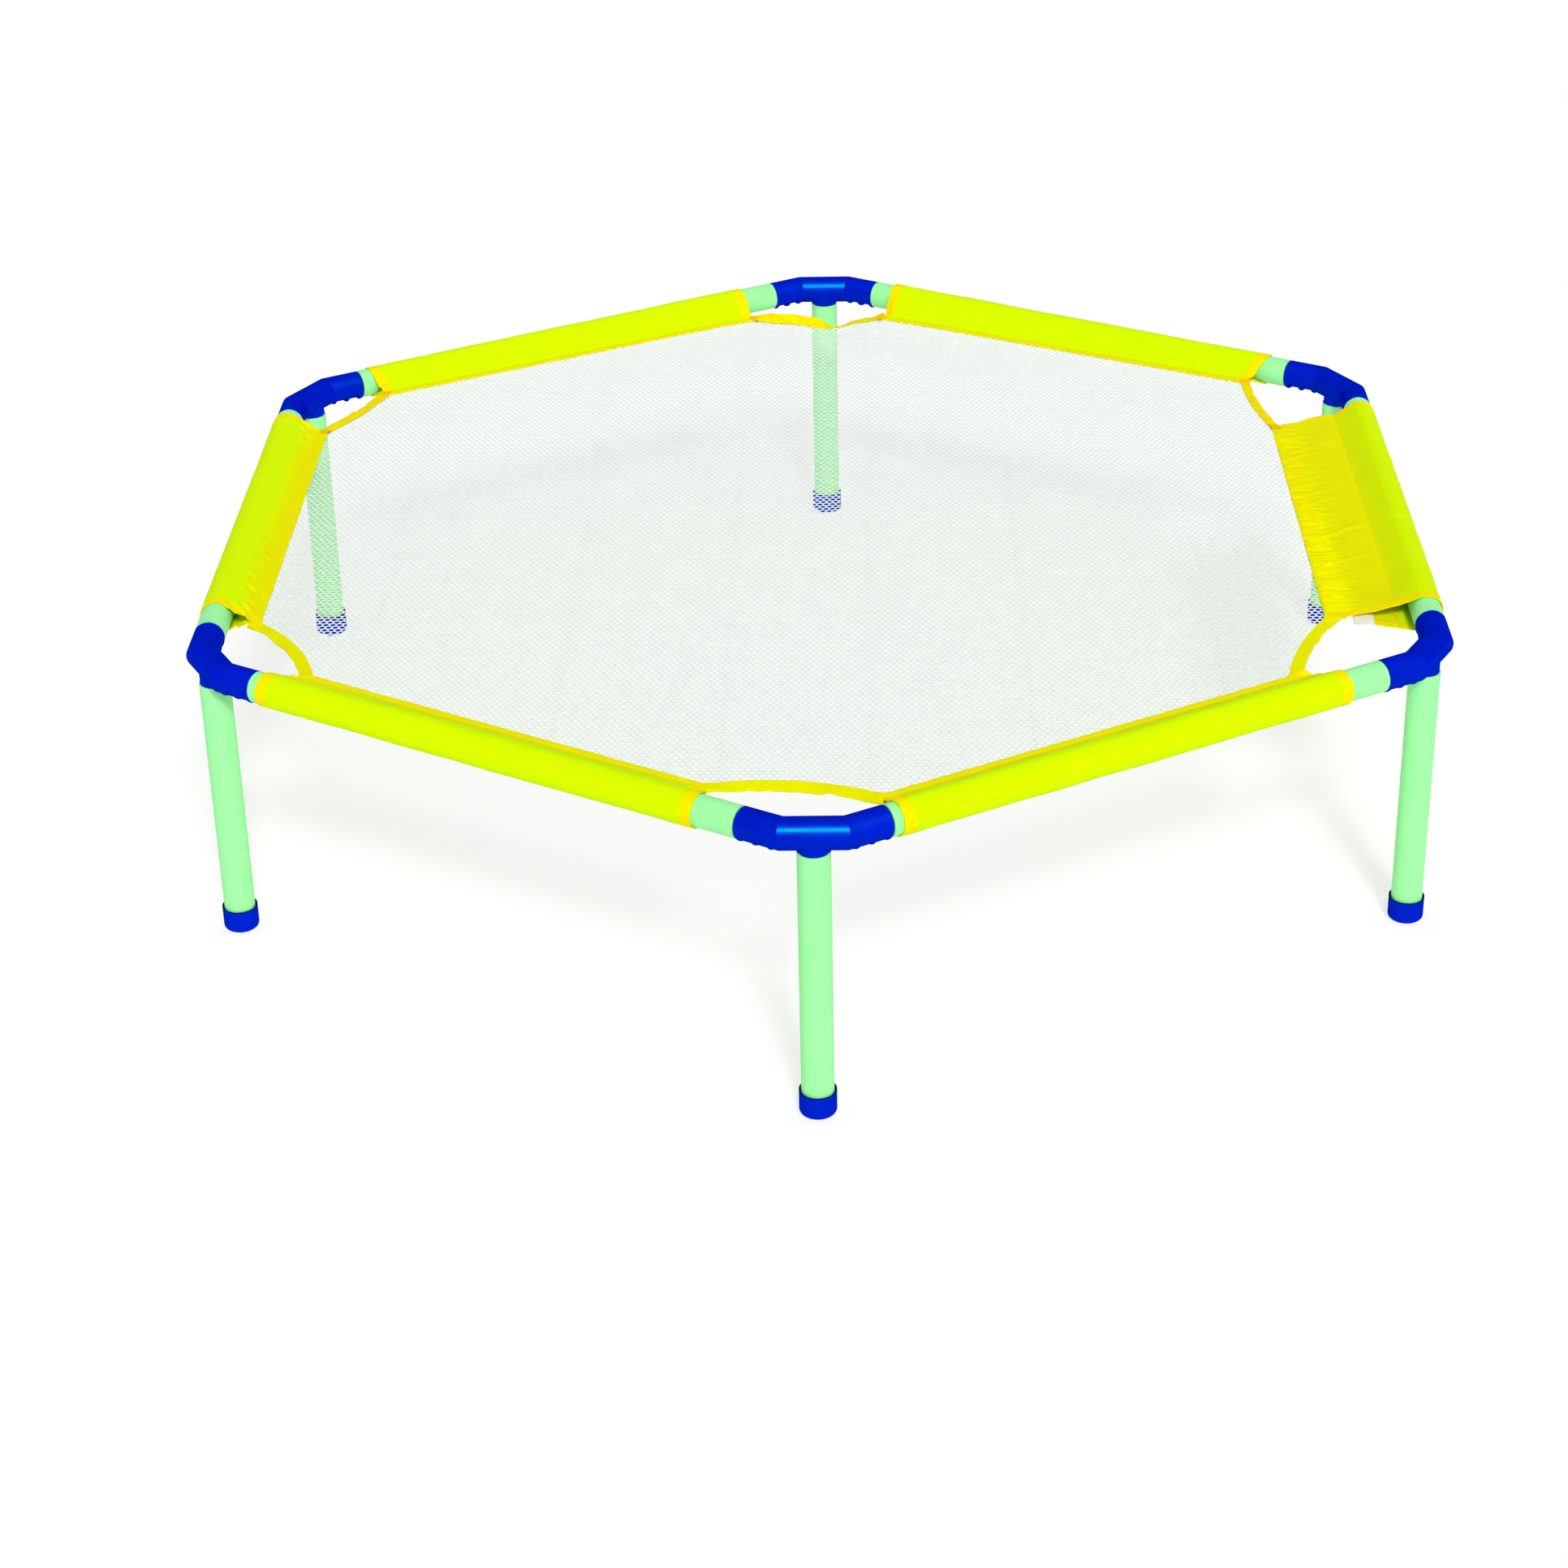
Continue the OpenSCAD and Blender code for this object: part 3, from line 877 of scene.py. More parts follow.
@dataclass
class Sleeve:
    """A cloth sleeve round one side tube, hemmed at both ends and sewn to the net's edge.

    Its middle surface is a closed way round the tube: in from the net, over the tube, round its
    outside and back underneath, carried along the side.
    """

    plan: RingPlan
    side: int
    wrap_radius: float = 16.9
    edge_height: float = 0.72
    seam_height: float = 1.0
    band_width: float = 9.0
    cloth: float = 0.8
    hem_width: float = 12.0
    hem_step: float = 0.42
    knee: float = -4.0
    rows: int = 200
    hem_rows: int = 23
    # Heights of the slow waves and of the creases, how much higher a crease is at a hem, and how
    # far the cloth sinks toward the net's plane
    wave: float = 0.9
    crease: float = 0.9
    crease_at_hem: float = 1.7
    sink: float = 0.8
    pucker: float = 0.5
    stitch_size: tuple[float, float, float] = (2.5, 0.85, 0.6)
    # How far the upper layer stands up at each end of the net's edge
    corner_lift: tuple[float, float] = (0.0, 0.0)
    # Where the colour starts to turn to that of free cloth
    free_from: float = -15.0
    seed: int = field(init=False)

    def __post_init__(self) -> None:
        """Gives each side its own creases."""
        self.seed = 100 * (self.side + 1)

    @property
    def name(self) -> str:
        """Name of the CAD node that the sleeve stands for."""
        return f"sleeve_{SIDES[self.side]}"

    @property
    def reach(self) -> float:
        """Distance from the tube's axis to the net's edge."""
        return self.plan.reach[self.side]

    @property
    def seam(self) -> float:
        """Distance from the tube's axis to the seam that closes the band at the net."""
        return self.reach - self.band_width

    def round_tube(self, seam: float, height: float, count: int) -> np.ndarray:
        """The arc round the tube's outside, between the tangents from the seam's two layers.

        The tangent from (-d, e) touches a circle of radius r at acos(r / |d, e|) + atan2(e, d)
        from -X.

        Args:
            seam: Distance d of the seam from the tube's axis.
            height: Height e of the upper layer at the seam.
            count: Number of points.

        Returns:
            Points (outward, up), from the upper tangent to the lower one.
        """
        touch = math.acos(self.wrap_radius / math.hypot(seam, height)) + math.atan2(height, seam)
        turn = np.linspace(touch, math.tau - touch, count)
        return self.wrap_radius * np.stack([-np.cos(turn), np.sin(turn)], 1)

    def outline(self) -> np.ndarray:
        """The way round at the grid's columns: net edge, seam, tangent, arc, and back underneath.

        Returns:
            Points (outward, up).
        """
        arc = self.round_tube(self.seam, self.seam_height, 45)
        edge, sewn = (-self.reach, self.edge_height), (-self.seam, self.seam_height)
        upper = np.concatenate([straight(edge, sewn, 8), straight(sewn, arc[0], 14)])
        return np.concatenate([upper, arc, (upper * [1, -1])[::-1]])

    def row_places(self) -> np.ndarray:
        """Spaces the grid's rows closer together at the two hems.

        Returns:
            Share of the length at each row.
        """
        start, stop = self.plan.tube_span(self.side)
        end = 2 * self.hem_width / (stop - start)
        near = np.linspace(0.0, end, self.hem_rows + 1)
        between = np.linspace(end, 1 - end, self.rows - 2 * self.hem_rows)
        return np.concatenate([near[:-1], between, (1 - near)[::-1][1:]])

    def ends(self, x: np.ndarray, z: np.ndarray) -> tuple[np.ndarray, np.ndarray]:
        """Start and stop of the cloth: square over the tube, then slanting in to the net.

        Args:
            x: Outward of the tube's axis.
            z: Above the tube's axis.

        Returns:
            Places along the side.
        """
        tube, net = self.plan.tube_span(self.side), self.plan.net_span(self.side)
        share = np.clip((self.knee - x) / (self.reach + self.knee), 0.0, 1.0)
        share = share - 0.06 * np.sin(math.pi * share)
        wave = 0.5 * ripple(x, 0.3 * z, self.seed + 11, 26)
        start, stop = (a + (b - a) * share for a, b in zip(tube, net))
        return start + wave, stop - wave

    def spread(self) -> Spread:
        """Lays the outline along the side on a grid, from its start to its stop at each column.

        Returns:
            The plain cloth.
        """
        line = self.outline()
        start, stop = self.ends(*line.T)
        along = start + self.row_places()[:, None] * (stop - start)
        x, z, across = (np.broadcast_to(v, along.shape) for v in (*line.T, distance_along(line)))
        return Spread(x, z, along, np.stack([along - start, stop - along]), across)

    def slack(self, at: Spread) -> tuple[np.ndarray, np.ndarray]:
        """How far the cloth stands off the tube: a slow ripple, and creases that run from the hems.

        Args:
            at: The plain cloth.

        Returns:
            Distances outward and up.
        """
        turn = 16 * np.arctan2(at.z, -at.x)
        crease = ripple(turn + 0.25 * at.along, 0.12 * at.along, self.seed + 13, 11)
        slow = ripple(at.z * 1.3, at.along * 0.5, self.seed + 9, 55)
        loose = 0.4 + 0.34 * slow + 0.22 * np.exp(-at.end / 50) * crease
        loose = loose * (1 - smooth((-at.x - 6) / 8))
        away = np.maximum(np.hypot(at.x, at.z), 1)
        return loose * at.x / away, loose * at.z / away

    def shape(self, at: Spread) -> np.ndarray:
        """Moves the plain cloth as worn cloth lies: pinched, creased at the hems, wavy at the net.

        Args:
            at: The plain cloth.

        Returns:
            Points (outward, along, up).
        """
        x, z, along = at.x, at.z, at.along
        layer = np.sign(z)
        phase = along + 170.0 * (layer < 0)
        free = smooth((-x - 12) / 10) * smooth((x + self.seam) / 6)
        pull = np.exp(-at.end / 40)
        slow = ripple(x * 2.0, phase * 0.55, self.seed, 60)
        crease = ripple(x * 0.9 + phase * 0.55, phase * 0.3 - x * 0.7, self.seed + 7, 13)
        dz = self.wave * slow + (self.crease + self.crease_at_hem * pull) * crease - self.sink
        band = bump(x, -(self.reach - self.band_width / 2), self.band_width / 3)
        puckers = band * self.pucker * (0.6 + 0.6 * ripple(x * 0.5, phase, self.seed + 3, 9))
        dz = layer * (free * dz + puckers - 0.2 * bump(x, -self.seam, 0.9))
        at_net = smooth((-x - self.seam) / self.band_width)
        dx = at_net * 0.35 * ripple(along, 0.0, self.seed + 5, 24)
        for distance, lift in zip(at.near, self.corner_lift):
            dz = dz + lift * smooth(1 - distance / 16) * smooth((-x - self.seam + 4) / 10)
        off = self.slack(at)
        return np.stack([x + dx + off[0], along, z + dz + off[1]], -1)

    def hem(self, at: Spread) -> np.ndarray:
        """1 on the hems at both ends."""
        return 1 - smooth((at.end - self.hem_width) / 1.0)

    def doubled(self, at: Spread) -> np.ndarray:
        """Where the cloth is doubled: 1 on the hems and on the band at the net."""
        return np.maximum(self.hem(at), smooth((-at.x - self.seam) / 1.2))

    def tone(self, at: Spread) -> np.ndarray:
        """0 over the tube, 1 on the free cloth, 1.4 on the band at the net and 2 on the hems."""
        free, band = smooth((self.free_from - at.x) / 20), smooth((-at.x - self.seam) / 1.2)
        return np.maximum(np.maximum(free, 1.4 * band), 2 * self.hem(at))

    def stitch_lines(self) -> list[StitchLine]:
        """Lists the sewn lines: one on each hem, and two along the band at the net.

        Returns:
            The lines.
        """
        return [
            StitchLine(self.hem_width - 1.3, on_hem=True),
            StitchLine(-self.seam - 0.6),
            StitchLine(-self.reach + 2.2),
        ]

    def build(self, cloth: bpy.types.Material, thread: bpy.types.Material) -> None:
        """Args:
            cloth: Material of the sleeve.
            thread: Material of the stitches.
        """
        at = self.spread()
        middle = self.plan.place(self.side, self.shape(at))
        middle[..., 2] += smooth((-at.x - 14) / 22) * self.plan.level(middle[..., :2])
        outward = self.cloth / 2 + self.hem_step * self.doubled(at)
        inward = np.full_like(outward, self.cloth / 2)
        uv = np.stack([at.along, at.across], -1)
        piece = cloth_piece(f"{self.name}_cloth", middle, outward, inward, uv, self.tone(at))
        finish_piece(piece, cloth, self.name)
        normal = normals_of(middle)
        outer = np.concatenate([middle + normal * outward[..., None], normal], -1)
        stitches = self.stitching(outer, at)
        finish_piece(stitches, thread)

    def stitching(self, outer: np.ndarray, at: Spread) -> bpy.types.Object:
        """Makes all the sleeve's stitches, lying on the outer face of the cloth.

        Args:
            outer: Outer face of the cloth and its normals, rows by columns by 6.
            at: The plain cloth.

        Returns:
            One piece with the stitches of every sewn line.
        """
        lines = []
        half = len(outer) // 2
        x, z = at.x[0], at.z[0]
        for line in self.stitch_lines():
            if line.on_hem:
                for rows in (slice(0, half), slice(None, half, -1)):
                    lines.append(line_where(outer[rows], at.end[rows] - line.place))
                continue
            for layer in line.layers:
                columns = np.flatnonzero(z * layer > 0)
                columns = columns[np.argsort(x[columns])]
                past = (x[columns] - line.place)[:, None]
                gap = np.broadcast_to(past, (len(columns), len(outer)))
                lines.append(line_where(outer[:, columns].swapaxes(0, 1), gap))
        centres, ways, ups = (np.concatenate(group) for group in zip(*map(stitches_along, lines)))
        points, faces = spindles(centres, ways, ups, self.stitch_size)
        return new_piece(f"{self.name}_stitching", points, faces, STITCH_EDGE_DEG)


@dataclass(frozen=True)
class Folds:
    """A row of folds across a cloth, each with its own place, width, height, slope and reach."""

    first: float
    last: float
    spacing: tuple[float, float]
    width: tuple[float, float]
    height: tuple[float, float]
    slope: tuple[float, float]
    reach: tuple[float, float]

    def at(self, inward: np.ndarray, along: np.ndarray, seed: int) -> np.ndarray:
        """Height of the folds: a bell across each, which fades out with distance from its root.

        Args:
            inward: Distance from the line where the folds start.
            along: Place along the cloth.
            seed: Seed of the draws.

        Returns:
            Height at each point.
        """
        draws = np.random.default_rng(seed)
        count = int((self.last - self.first) / self.spacing[0])
        place = self.first + np.cumsum(draws.uniform(*self.spacing, count))
        place = place[place < self.last]
        spans = (self.width, self.height, self.slope, self.reach)
        width, height, slope, reach = (draws.uniform(*span, len(place)) for span in spans)
        inward, along = inward[..., None], along[..., None]
        fade = 1 - smooth(np.maximum(inward, 0) / reach)
        return (height * fade * np.exp(-(((along - place - slope * inward) / width) ** 2))).sum(-1)


@dataclass
class WideSleeve(Sleeve):
    """The right sleeve: a wide wrap, gathered where it meets the net, with an open flap underneath.

    Both layers are sewn together beside the tube. The upper one runs on to the net and the lower
    one is a flap that hangs down at its front end.
    """

    edge_height: float = 0.75
    band_width: float = 22.0
    rows: int = 400
    # The seam beside the tube: its place, and the layers' heights at it and past it
    seam_at: float = 30.0
    pinch: float = 0.55
    layer: float = 1.45
    # The flap: its reach, how much further out it starts, and where its hanging front is held
    flap_reach: float = 76.0
    flap_out: float = 12.0
    flap_edge: float = -9.0
    hang_from: float = -4.2
    hang_to: float = -62.0
    hang_over: float = 120.0
    # The upper layer's rise at the front: from where to where, over how much length, and its share
    lift_from: float = -6.0
    lift_to: float = -80.0
    lift_over: float = 75.0
    lift_share: float = 0.85
    pleats: Folds = Folds(
        -262.0, 232.0, (6.0, 12.0), (1.3, 2.3), (1.1, 3.0), (-0.1, 0.1), (6.0, 26.0)
    )
    creases: Folds = Folds(
        -250.0, 210.0, (14.0, 34.0), (1.6, 3.4), (0.6, 1.9), (0.35, 0.62), (30.0, 75.0)
    )
    # One long crease: its height, and its places outward and along
    long_height: float = 1.2
    long_path: tuple[tuple[float, ...], ...] = (
        (-83.0, -54.0, -27.0, -3.0, 10.0), (-72.0, -50.0, -42.0, -50.0, -54.0)
    )

    def outline(self) -> np.ndarray:
        """The way round at the grid's columns: net edge, gathers, panel, seam, tube, seam, flap.

        Returns:
            Points (outward, up).
        """
        arc = self.round_tube(self.seam_at, self.pinch, 33)
        fold = -self.seam_at - 5
        upper = [
            straight((-self.reach, self.edge_height), (-self.seam, self.layer), 14),
            straight((-self.seam, self.layer), (fold, self.layer), 26),
            straight((fold, self.layer), (-self.seam_at, self.pinch), 4),
            straight((-self.seam_at, self.pinch), arc[0], 6),
        ]
        lower = [
            straight(arc[-1], (-self.seam_at, -self.pinch), 6),
            straight((-self.seam_at, -self.pinch), (fold, -self.layer), 4),
            np.linspace((fold, -self.layer), (-self.flap_reach, -self.layer), 20),
        ]
        return np.concatenate([*upper, arc[:-1], *lower])

    def ends(self, x: np.ndarray, z: np.ndarray) -> tuple[np.ndarray, np.ndarray]:
        """The slanting ends: the rear bellied out and wavy, the front further out on the flap.

        Args:
            x: Outward of the tube's axis.
            z: Above the tube's axis.

        Returns:
            Places along the side.
        """
        start, stop = super().ends(x, z)
        stop = stop + 9.0 * bump(x, -40, 26) + 1.8 * bump(x, -88, 7) - 2.0 * bump(x, -72, 8)
        lower = np.where(x < self.flap_edge, z < 0, smooth((5 - z) / 20))
        return start - 3.0 * bump(x, -45, 30) - self.flap_out * lower, stop

    def drop(self, x: np.ndarray, z: np.ndarray, along: np.ndarray) -> np.ndarray:
        """How far the lower layer hangs under its plain place near its front end.

        There it isn't sewn up beside the tube, but runs straight from under the tube to the tape.

        Args:
            x: Outward of the tube's axis.
            z: Plain height.
            along: Place along the side.

        Returns:
            Height to add, zero or less.
        """
        front = smooth(1 - (along - self.ends(x, z)[0]) / self.hang_over)
        past = x - self.hang_to
        slope = (self.wrap_radius - self.layer) / (self.hang_to - self.hang_from)
        line = -self.layer + np.where(past > 0, slope * past, 0.1 * past)
        return front * np.where(x < self.hang_from, np.minimum(line - z, 0), 0)

    def shape(self, at: Spread) -> np.ndarray:
        """Moves the plain cloth: pleats at the net, creases in the panel, and the flap's hang.

        Args:
            at: The plain cloth.

        Returns:
            Points (outward, along, up).
        """
        x, z, along = at.x, at.z, at.along
        upper, lower = z > 0, z < 0
        inward = x + self.seam
        at_edge = smooth((x + self.reach) / 5)
        panel = smooth((-x - self.seam_at - 1) / 9)
        gather = self.gathers(at) - 0.45 * smooth(1 - inward / 12)
        rise = at_edge * gather + panel * self.creases.at(inward, along, self.seed + 1)
        rise = rise + panel * at_edge * 0.5 * ripple(x * 0.8, along - 0.6 * x, self.seed + 2, 48)
        past = along - np.interp(x, *self.long_path)
        over = bump(past, 0, 2.6) - 0.5 * bump(past, -6, 5)
        rise = rise + panel * self.long_height * over - 0.35 * bump(x, -self.seam, 1.1)
        dx, dz = self.slack(at)
        around = np.maximum(np.hypot(x, z), 1)
        lifted = (1 - smooth((-x - 10) / 12)) * upper * smooth((x + 22) / 14) * 0.7 * over
        dz = dz + upper * (rise + self.lift(at)) + lifted * z / around
        flap = z + lower * (self.drop(x, z, along) + self.slump(at))
        at_net = smooth((-x - self.reach + 8) / 8)
        dx = dx + at_net * 0.6 * ripple(along, 0.0, self.seed + 5, 12)
        return np.stack([x + dx + lifted * x / around, along, flap + dz], -1)

    def lift(self, at: Spread) -> np.ndarray:
        """How far the upper layer stands up at its front end, where it runs straight off the tube.

        Args:
            at: The plain cloth.

        Returns:
            Height to add, zero or more.
        """
        front = smooth(1 - at.near[0] / self.lift_over)
        share = np.clip((at.x - self.lift_to) / (self.lift_from - self.lift_to), 0, 1)
        rise = np.maximum(self.layer + (self.wrap_radius - self.layer) * share - at.z, 0)
        return self.lift_share * front * np.where((at.x < -4) & (at.x > self.lift_to), rise, 0)

    def slump(self, at: Spread) -> np.ndarray:
        """A slow unevenness of the free flap, always downward."""
        free = smooth((-at.x - self.seam_at) / 12)
        return 0.5 * free * (ripple(at.x, at.along, self.seed + 31, 70) - 0.8)

    def doubled(self, at: Spread) -> np.ndarray:
        """Where the cloth is doubled: 1 on the hems."""
        return self.hem(at)

    def gathers(self, at: Spread) -> np.ndarray:
        """Height of the pleats at the net, looser toward the rear."""
        tight = 0.4 + 0.6 * smooth((90 - at.along) / 160)
        return tight * self.pleats.at(at.x + self.seam, at.along, self.seed)

    def tone(self, at: Spread) -> np.ndarray:
        """0 over the tube, 1 past the seam, 2 on the hems, up to 3 on seams and with painted shade
        between pleats.

        Args:
            at: The plain cloth.

        Returns:
            Tone at each point.
        """
        band = smooth((-at.x - self.seam) / 3)
        # Painted shade: the valleys between the pleats turn golden toward orange
        pleat_shade = band * smooth(1 - self.gathers(at) / 0.8)
        sewn = bump(at.x, -self.seam_at - 1, 1.3) + bump(at.x, -self.seam, 1.1)
        free = 0.5 * smooth((4 - at.x) / 28) + 0.5 * smooth((-at.x - self.seam_at + 3) / 4)
        free = free + 0.1 * band + 0.8 * pleat_shade + 0.3 * sewn
        return np.minimum(np.maximum(free, 2 * self.hem(at)), 3.0)

    def stitch_lines(self) -> list[StitchLine]:
        """Lists the sewn lines: hems, both sides of the gathers, the seam by the tube, the flap.

        Returns:
            The lines.
        """
        return [
            StitchLine(self.hem_width - 1.3, on_hem=True),
            StitchLine(-self.seam, layers=(1,)),
            StitchLine(-self.reach + 2.5, layers=(1,)),
            StitchLine(-self.seam_at),
            StitchLine(-self.flap_reach + 3.0, layers=(-1,)),
        ]


@dataclass
class FlatStrip:
    """A flat strip of cloth under the upper layer of the wide sleeve.

    span is its place outward of the tube's axis, layer is 1 where it follows the upper layer's
    ends and -1 where it follows and hangs with the flap, and past_start is how far it looks out.
    """

    sleeve: WideSleeve
    name: str
    span: tuple[float, float]
    height: float
    thickness: float
    layer: int
    past_start: float = 0.0
    tone: float = 1.5
    rows: int = 180
    columns: int = 13

    def build(self, cloth: bpy.types.Material, slot: Slot, node: str) -> None:
        """Args:
            cloth: Its material.
            slot: Its material slot; not used.
            node: The CAD node that it stands for.
        """
        inner, outer = self.span
        x = np.linspace(outer, inner, self.columns)
        start, stop = self.sleeve.ends(x, np.full(x.shape, self.layer))
        start = start - self.past_start
        along = start + np.linspace(0, 1, self.rows)[:, None] * (stop - start)
        x = np.broadcast_to(x, along.shape)
        z = self.height + 0.12 * ripple(x, along, 77, 25)
        if self.layer < 0:
            z = z + self.sleeve.drop(x, np.full(x.shape, -self.sleeve.layer), along)
        middle = self.sleeve.plan.place(self.sleeve.side, np.stack([x, along, z], -1))
        middle[..., 2] += self.sleeve.plan.level(middle[..., :2])
        half, tone = np.full(x.shape, self.thickness / 2), np.full(x.shape, self.tone)
        uv = np.stack([along, x], -1)
        piece = cloth_piece(self.name, middle[:, ::-1], half, half, uv[:, ::-1], tone)
        finish_piece(piece, cloth, node)


# ---- Net ----


@dataclass
class KnittedNet:
    """The knitted net: a lattice of holes in rows along X, each in a six-sided cell of thread.

    A cell's six corners are ridge points that it shares with its neighbours, above and below the
    net's plane, and its hole has six corners of its own, so a thread is a closed bar with a ridge.
    """

    plan: RingPlan
    pitch: float = 7.0
    thread: float = 1.8
    ridge: float = 0.3
    lip: float = 0.14
    under_cloth: float = 5.0
    past_cut: float = 1.0
    sag: float = 2.5
    sag_over: float = 320.0
    # Shares of the holes, from the left, at which the net is split into pieces
    splits: tuple[float, ...] = (0.08, 0.25, 0.42, 0.58, 0.75, 0.92)

    @property
    def hole_share(self) -> float:
        """Width of a hole over the width of its cell."""
        return 1 - self.thread / self.pitch

    def centres(self) -> np.ndarray:
        """Lists the net's holes.

        Returns:
            Their centres in whole lattice steps: half a pitch along X, pitch / (2 sqrt 3) along Y.
        """
        half = self.plan.across_flats / math.sqrt(3) / self.pitch
        row, column = np.meshgrid(
            np.arange(-int(half * 1.2), int(half * 1.2) + 1),
            np.arange(-int(half * 1.1), int(half * 1.1) + 1),
            indexing="ij",
        )
        steps = np.stack([2 * column + row % 2, 3 * row], -1).reshape(-1, 2)
        return steps[self.plan.room(self.place(steps)) > -self.under_cloth + self.pitch / 2]

    def place(self, steps: np.ndarray) -> np.ndarray:
        """Millimetres of points given in lattice steps."""
        return steps * np.array([self.pitch / 2, self.pitch / (2 * math.sqrt(3))])

    def settle(self, points: np.ndarray, up: float) -> np.ndarray:
        """Lays points seen from above in the net: a slow drift, and a sag that grows inwards.

        Threads that would run out under a binding are drawn back to just past the cut.

        Args:
            points: Points seen from above.
            up: Height over the net's middle.

        Returns:
            Points (x, y, z).
        """
        for cut in map(self.plan.cut, range(6)):
            away = points - cut.centre
            share = (cut.radius - self.past_cut) / np.linalg.norm(away, axis=1)
            points = cut.centre + away * np.maximum(share, 1)[:, None]
        x, y = points[:, 0], points[:, 1]
        side = [0.5 * ripple(x, y, 41 + k, 160) + 0.1 * ripple(x, y, 43 + k, 21) for k in range(2)]
        inside = smooth(self.plan.room(points) / self.sag_over)
        sag = -self.sag * inside + 0.5 * inside * ripple(x, y, 45, 90)
        height = self.plan.height + self.plan.level(points) + sag + up
        return np.stack([x + side[0], y + side[1], height], 1)

    def band(self, number: int, centres: np.ndarray) -> bpy.types.Object:
        """Makes the cells of one band as one closed piece.

        Args:
            number: Which band, from the left.
            centres: Centres of its holes, in lattice steps.

        Returns:
            The piece.
        """
        star = np.array([(1, 1), (0, 2), (-1, 1), (-1, -1), (0, -2), (1, -1)])
        ridge = (centres[:, None] + star).reshape(-1, 2)
        key = ridge[:, 0] * 100000 + ridge[:, 1]
        _, first, shared = np.unique(key, return_index=True, return_inverse=True)
        corner = self.place(ridge[first])
        hole = self.place((centres[:, None] + star * self.hole_share).reshape(-1, 2))
        points = [self.settle(p, up) for p, up in ((corner, self.ridge), (corner, -self.ridge))]
        points += [self.settle(p, up) for p, up in ((hole, self.lip), (hole, -self.lip))]
        own = np.arange(len(hole)).reshape(-1, 6)
        top, below = shared.reshape(-1, 6), shared.reshape(-1, 6) + len(corner)
        rim, rim_below = own + 2 * len(corner), own + 2 * len(corner) + len(hole)
        after = np.roll(np.arange(6), -1)
        quads = [
            np.stack([top, top[:, after], rim[:, after], rim], -1),
            np.stack([rim, rim[:, after], rim_below[:, after], rim_below], -1),
            np.stack([below[:, after], below, rim_below, rim_below[:, after]], -1),
        ]
        a, b = top.ravel(), top[:, after].ravel()
        edge = np.minimum(a, b) * len(corner) + np.maximum(a, b)
        _, seen, count = np.unique(edge, return_inverse=True, return_counts=True)
        lone = count[seen] == 1
        wall = np.stack([b[lone], a[lone], a[lone] + len(corner), b[lone] + len(corner)], 1)
        faces = np.concatenate([q.reshape(-1, 4) for q in quads] + [wall])
        return new_piece(f"net_band_{number + 1}", np.concatenate(points), faces, 0.0)

    def build(self, thread: bpy.types.Material) -> None:
        """Makes the net in bands from the left to the right.

        Args:
            thread: Material of the net.
        """
        centres = self.centres()
        centres = centres[np.argsort(centres[:, 0], kind="stable")]
        marks = [int(share * len(centres)) for share in self.splits]
        marks = [int(np.searchsorted(centres[:, 0], centres[mark, 0])) for mark in marks]
        for number, own in enumerate(np.split(centres, marks)):
            piece = self.band(number, own)
            finish_piece(piece, thread, "net")
            size = np.ptp(self.place(own), axis=0) + self.pitch


# ---- Corner bindings ----


# Two tapes that stand up or hang: angles in degrees at shares of the cut's length
FRONT_TILTS = ((0.0, -8.0), (0.3, -23.0), (0.7, -23.0), (1.0, -8.0))
REAR_TILTS = (
    (0.0, 0.0), (0.22, -8.0), (0.35, -45.0), (0.46, 30.0), (0.56, 62.0), (0.86, 62.0), (1.0, 0.0)
)


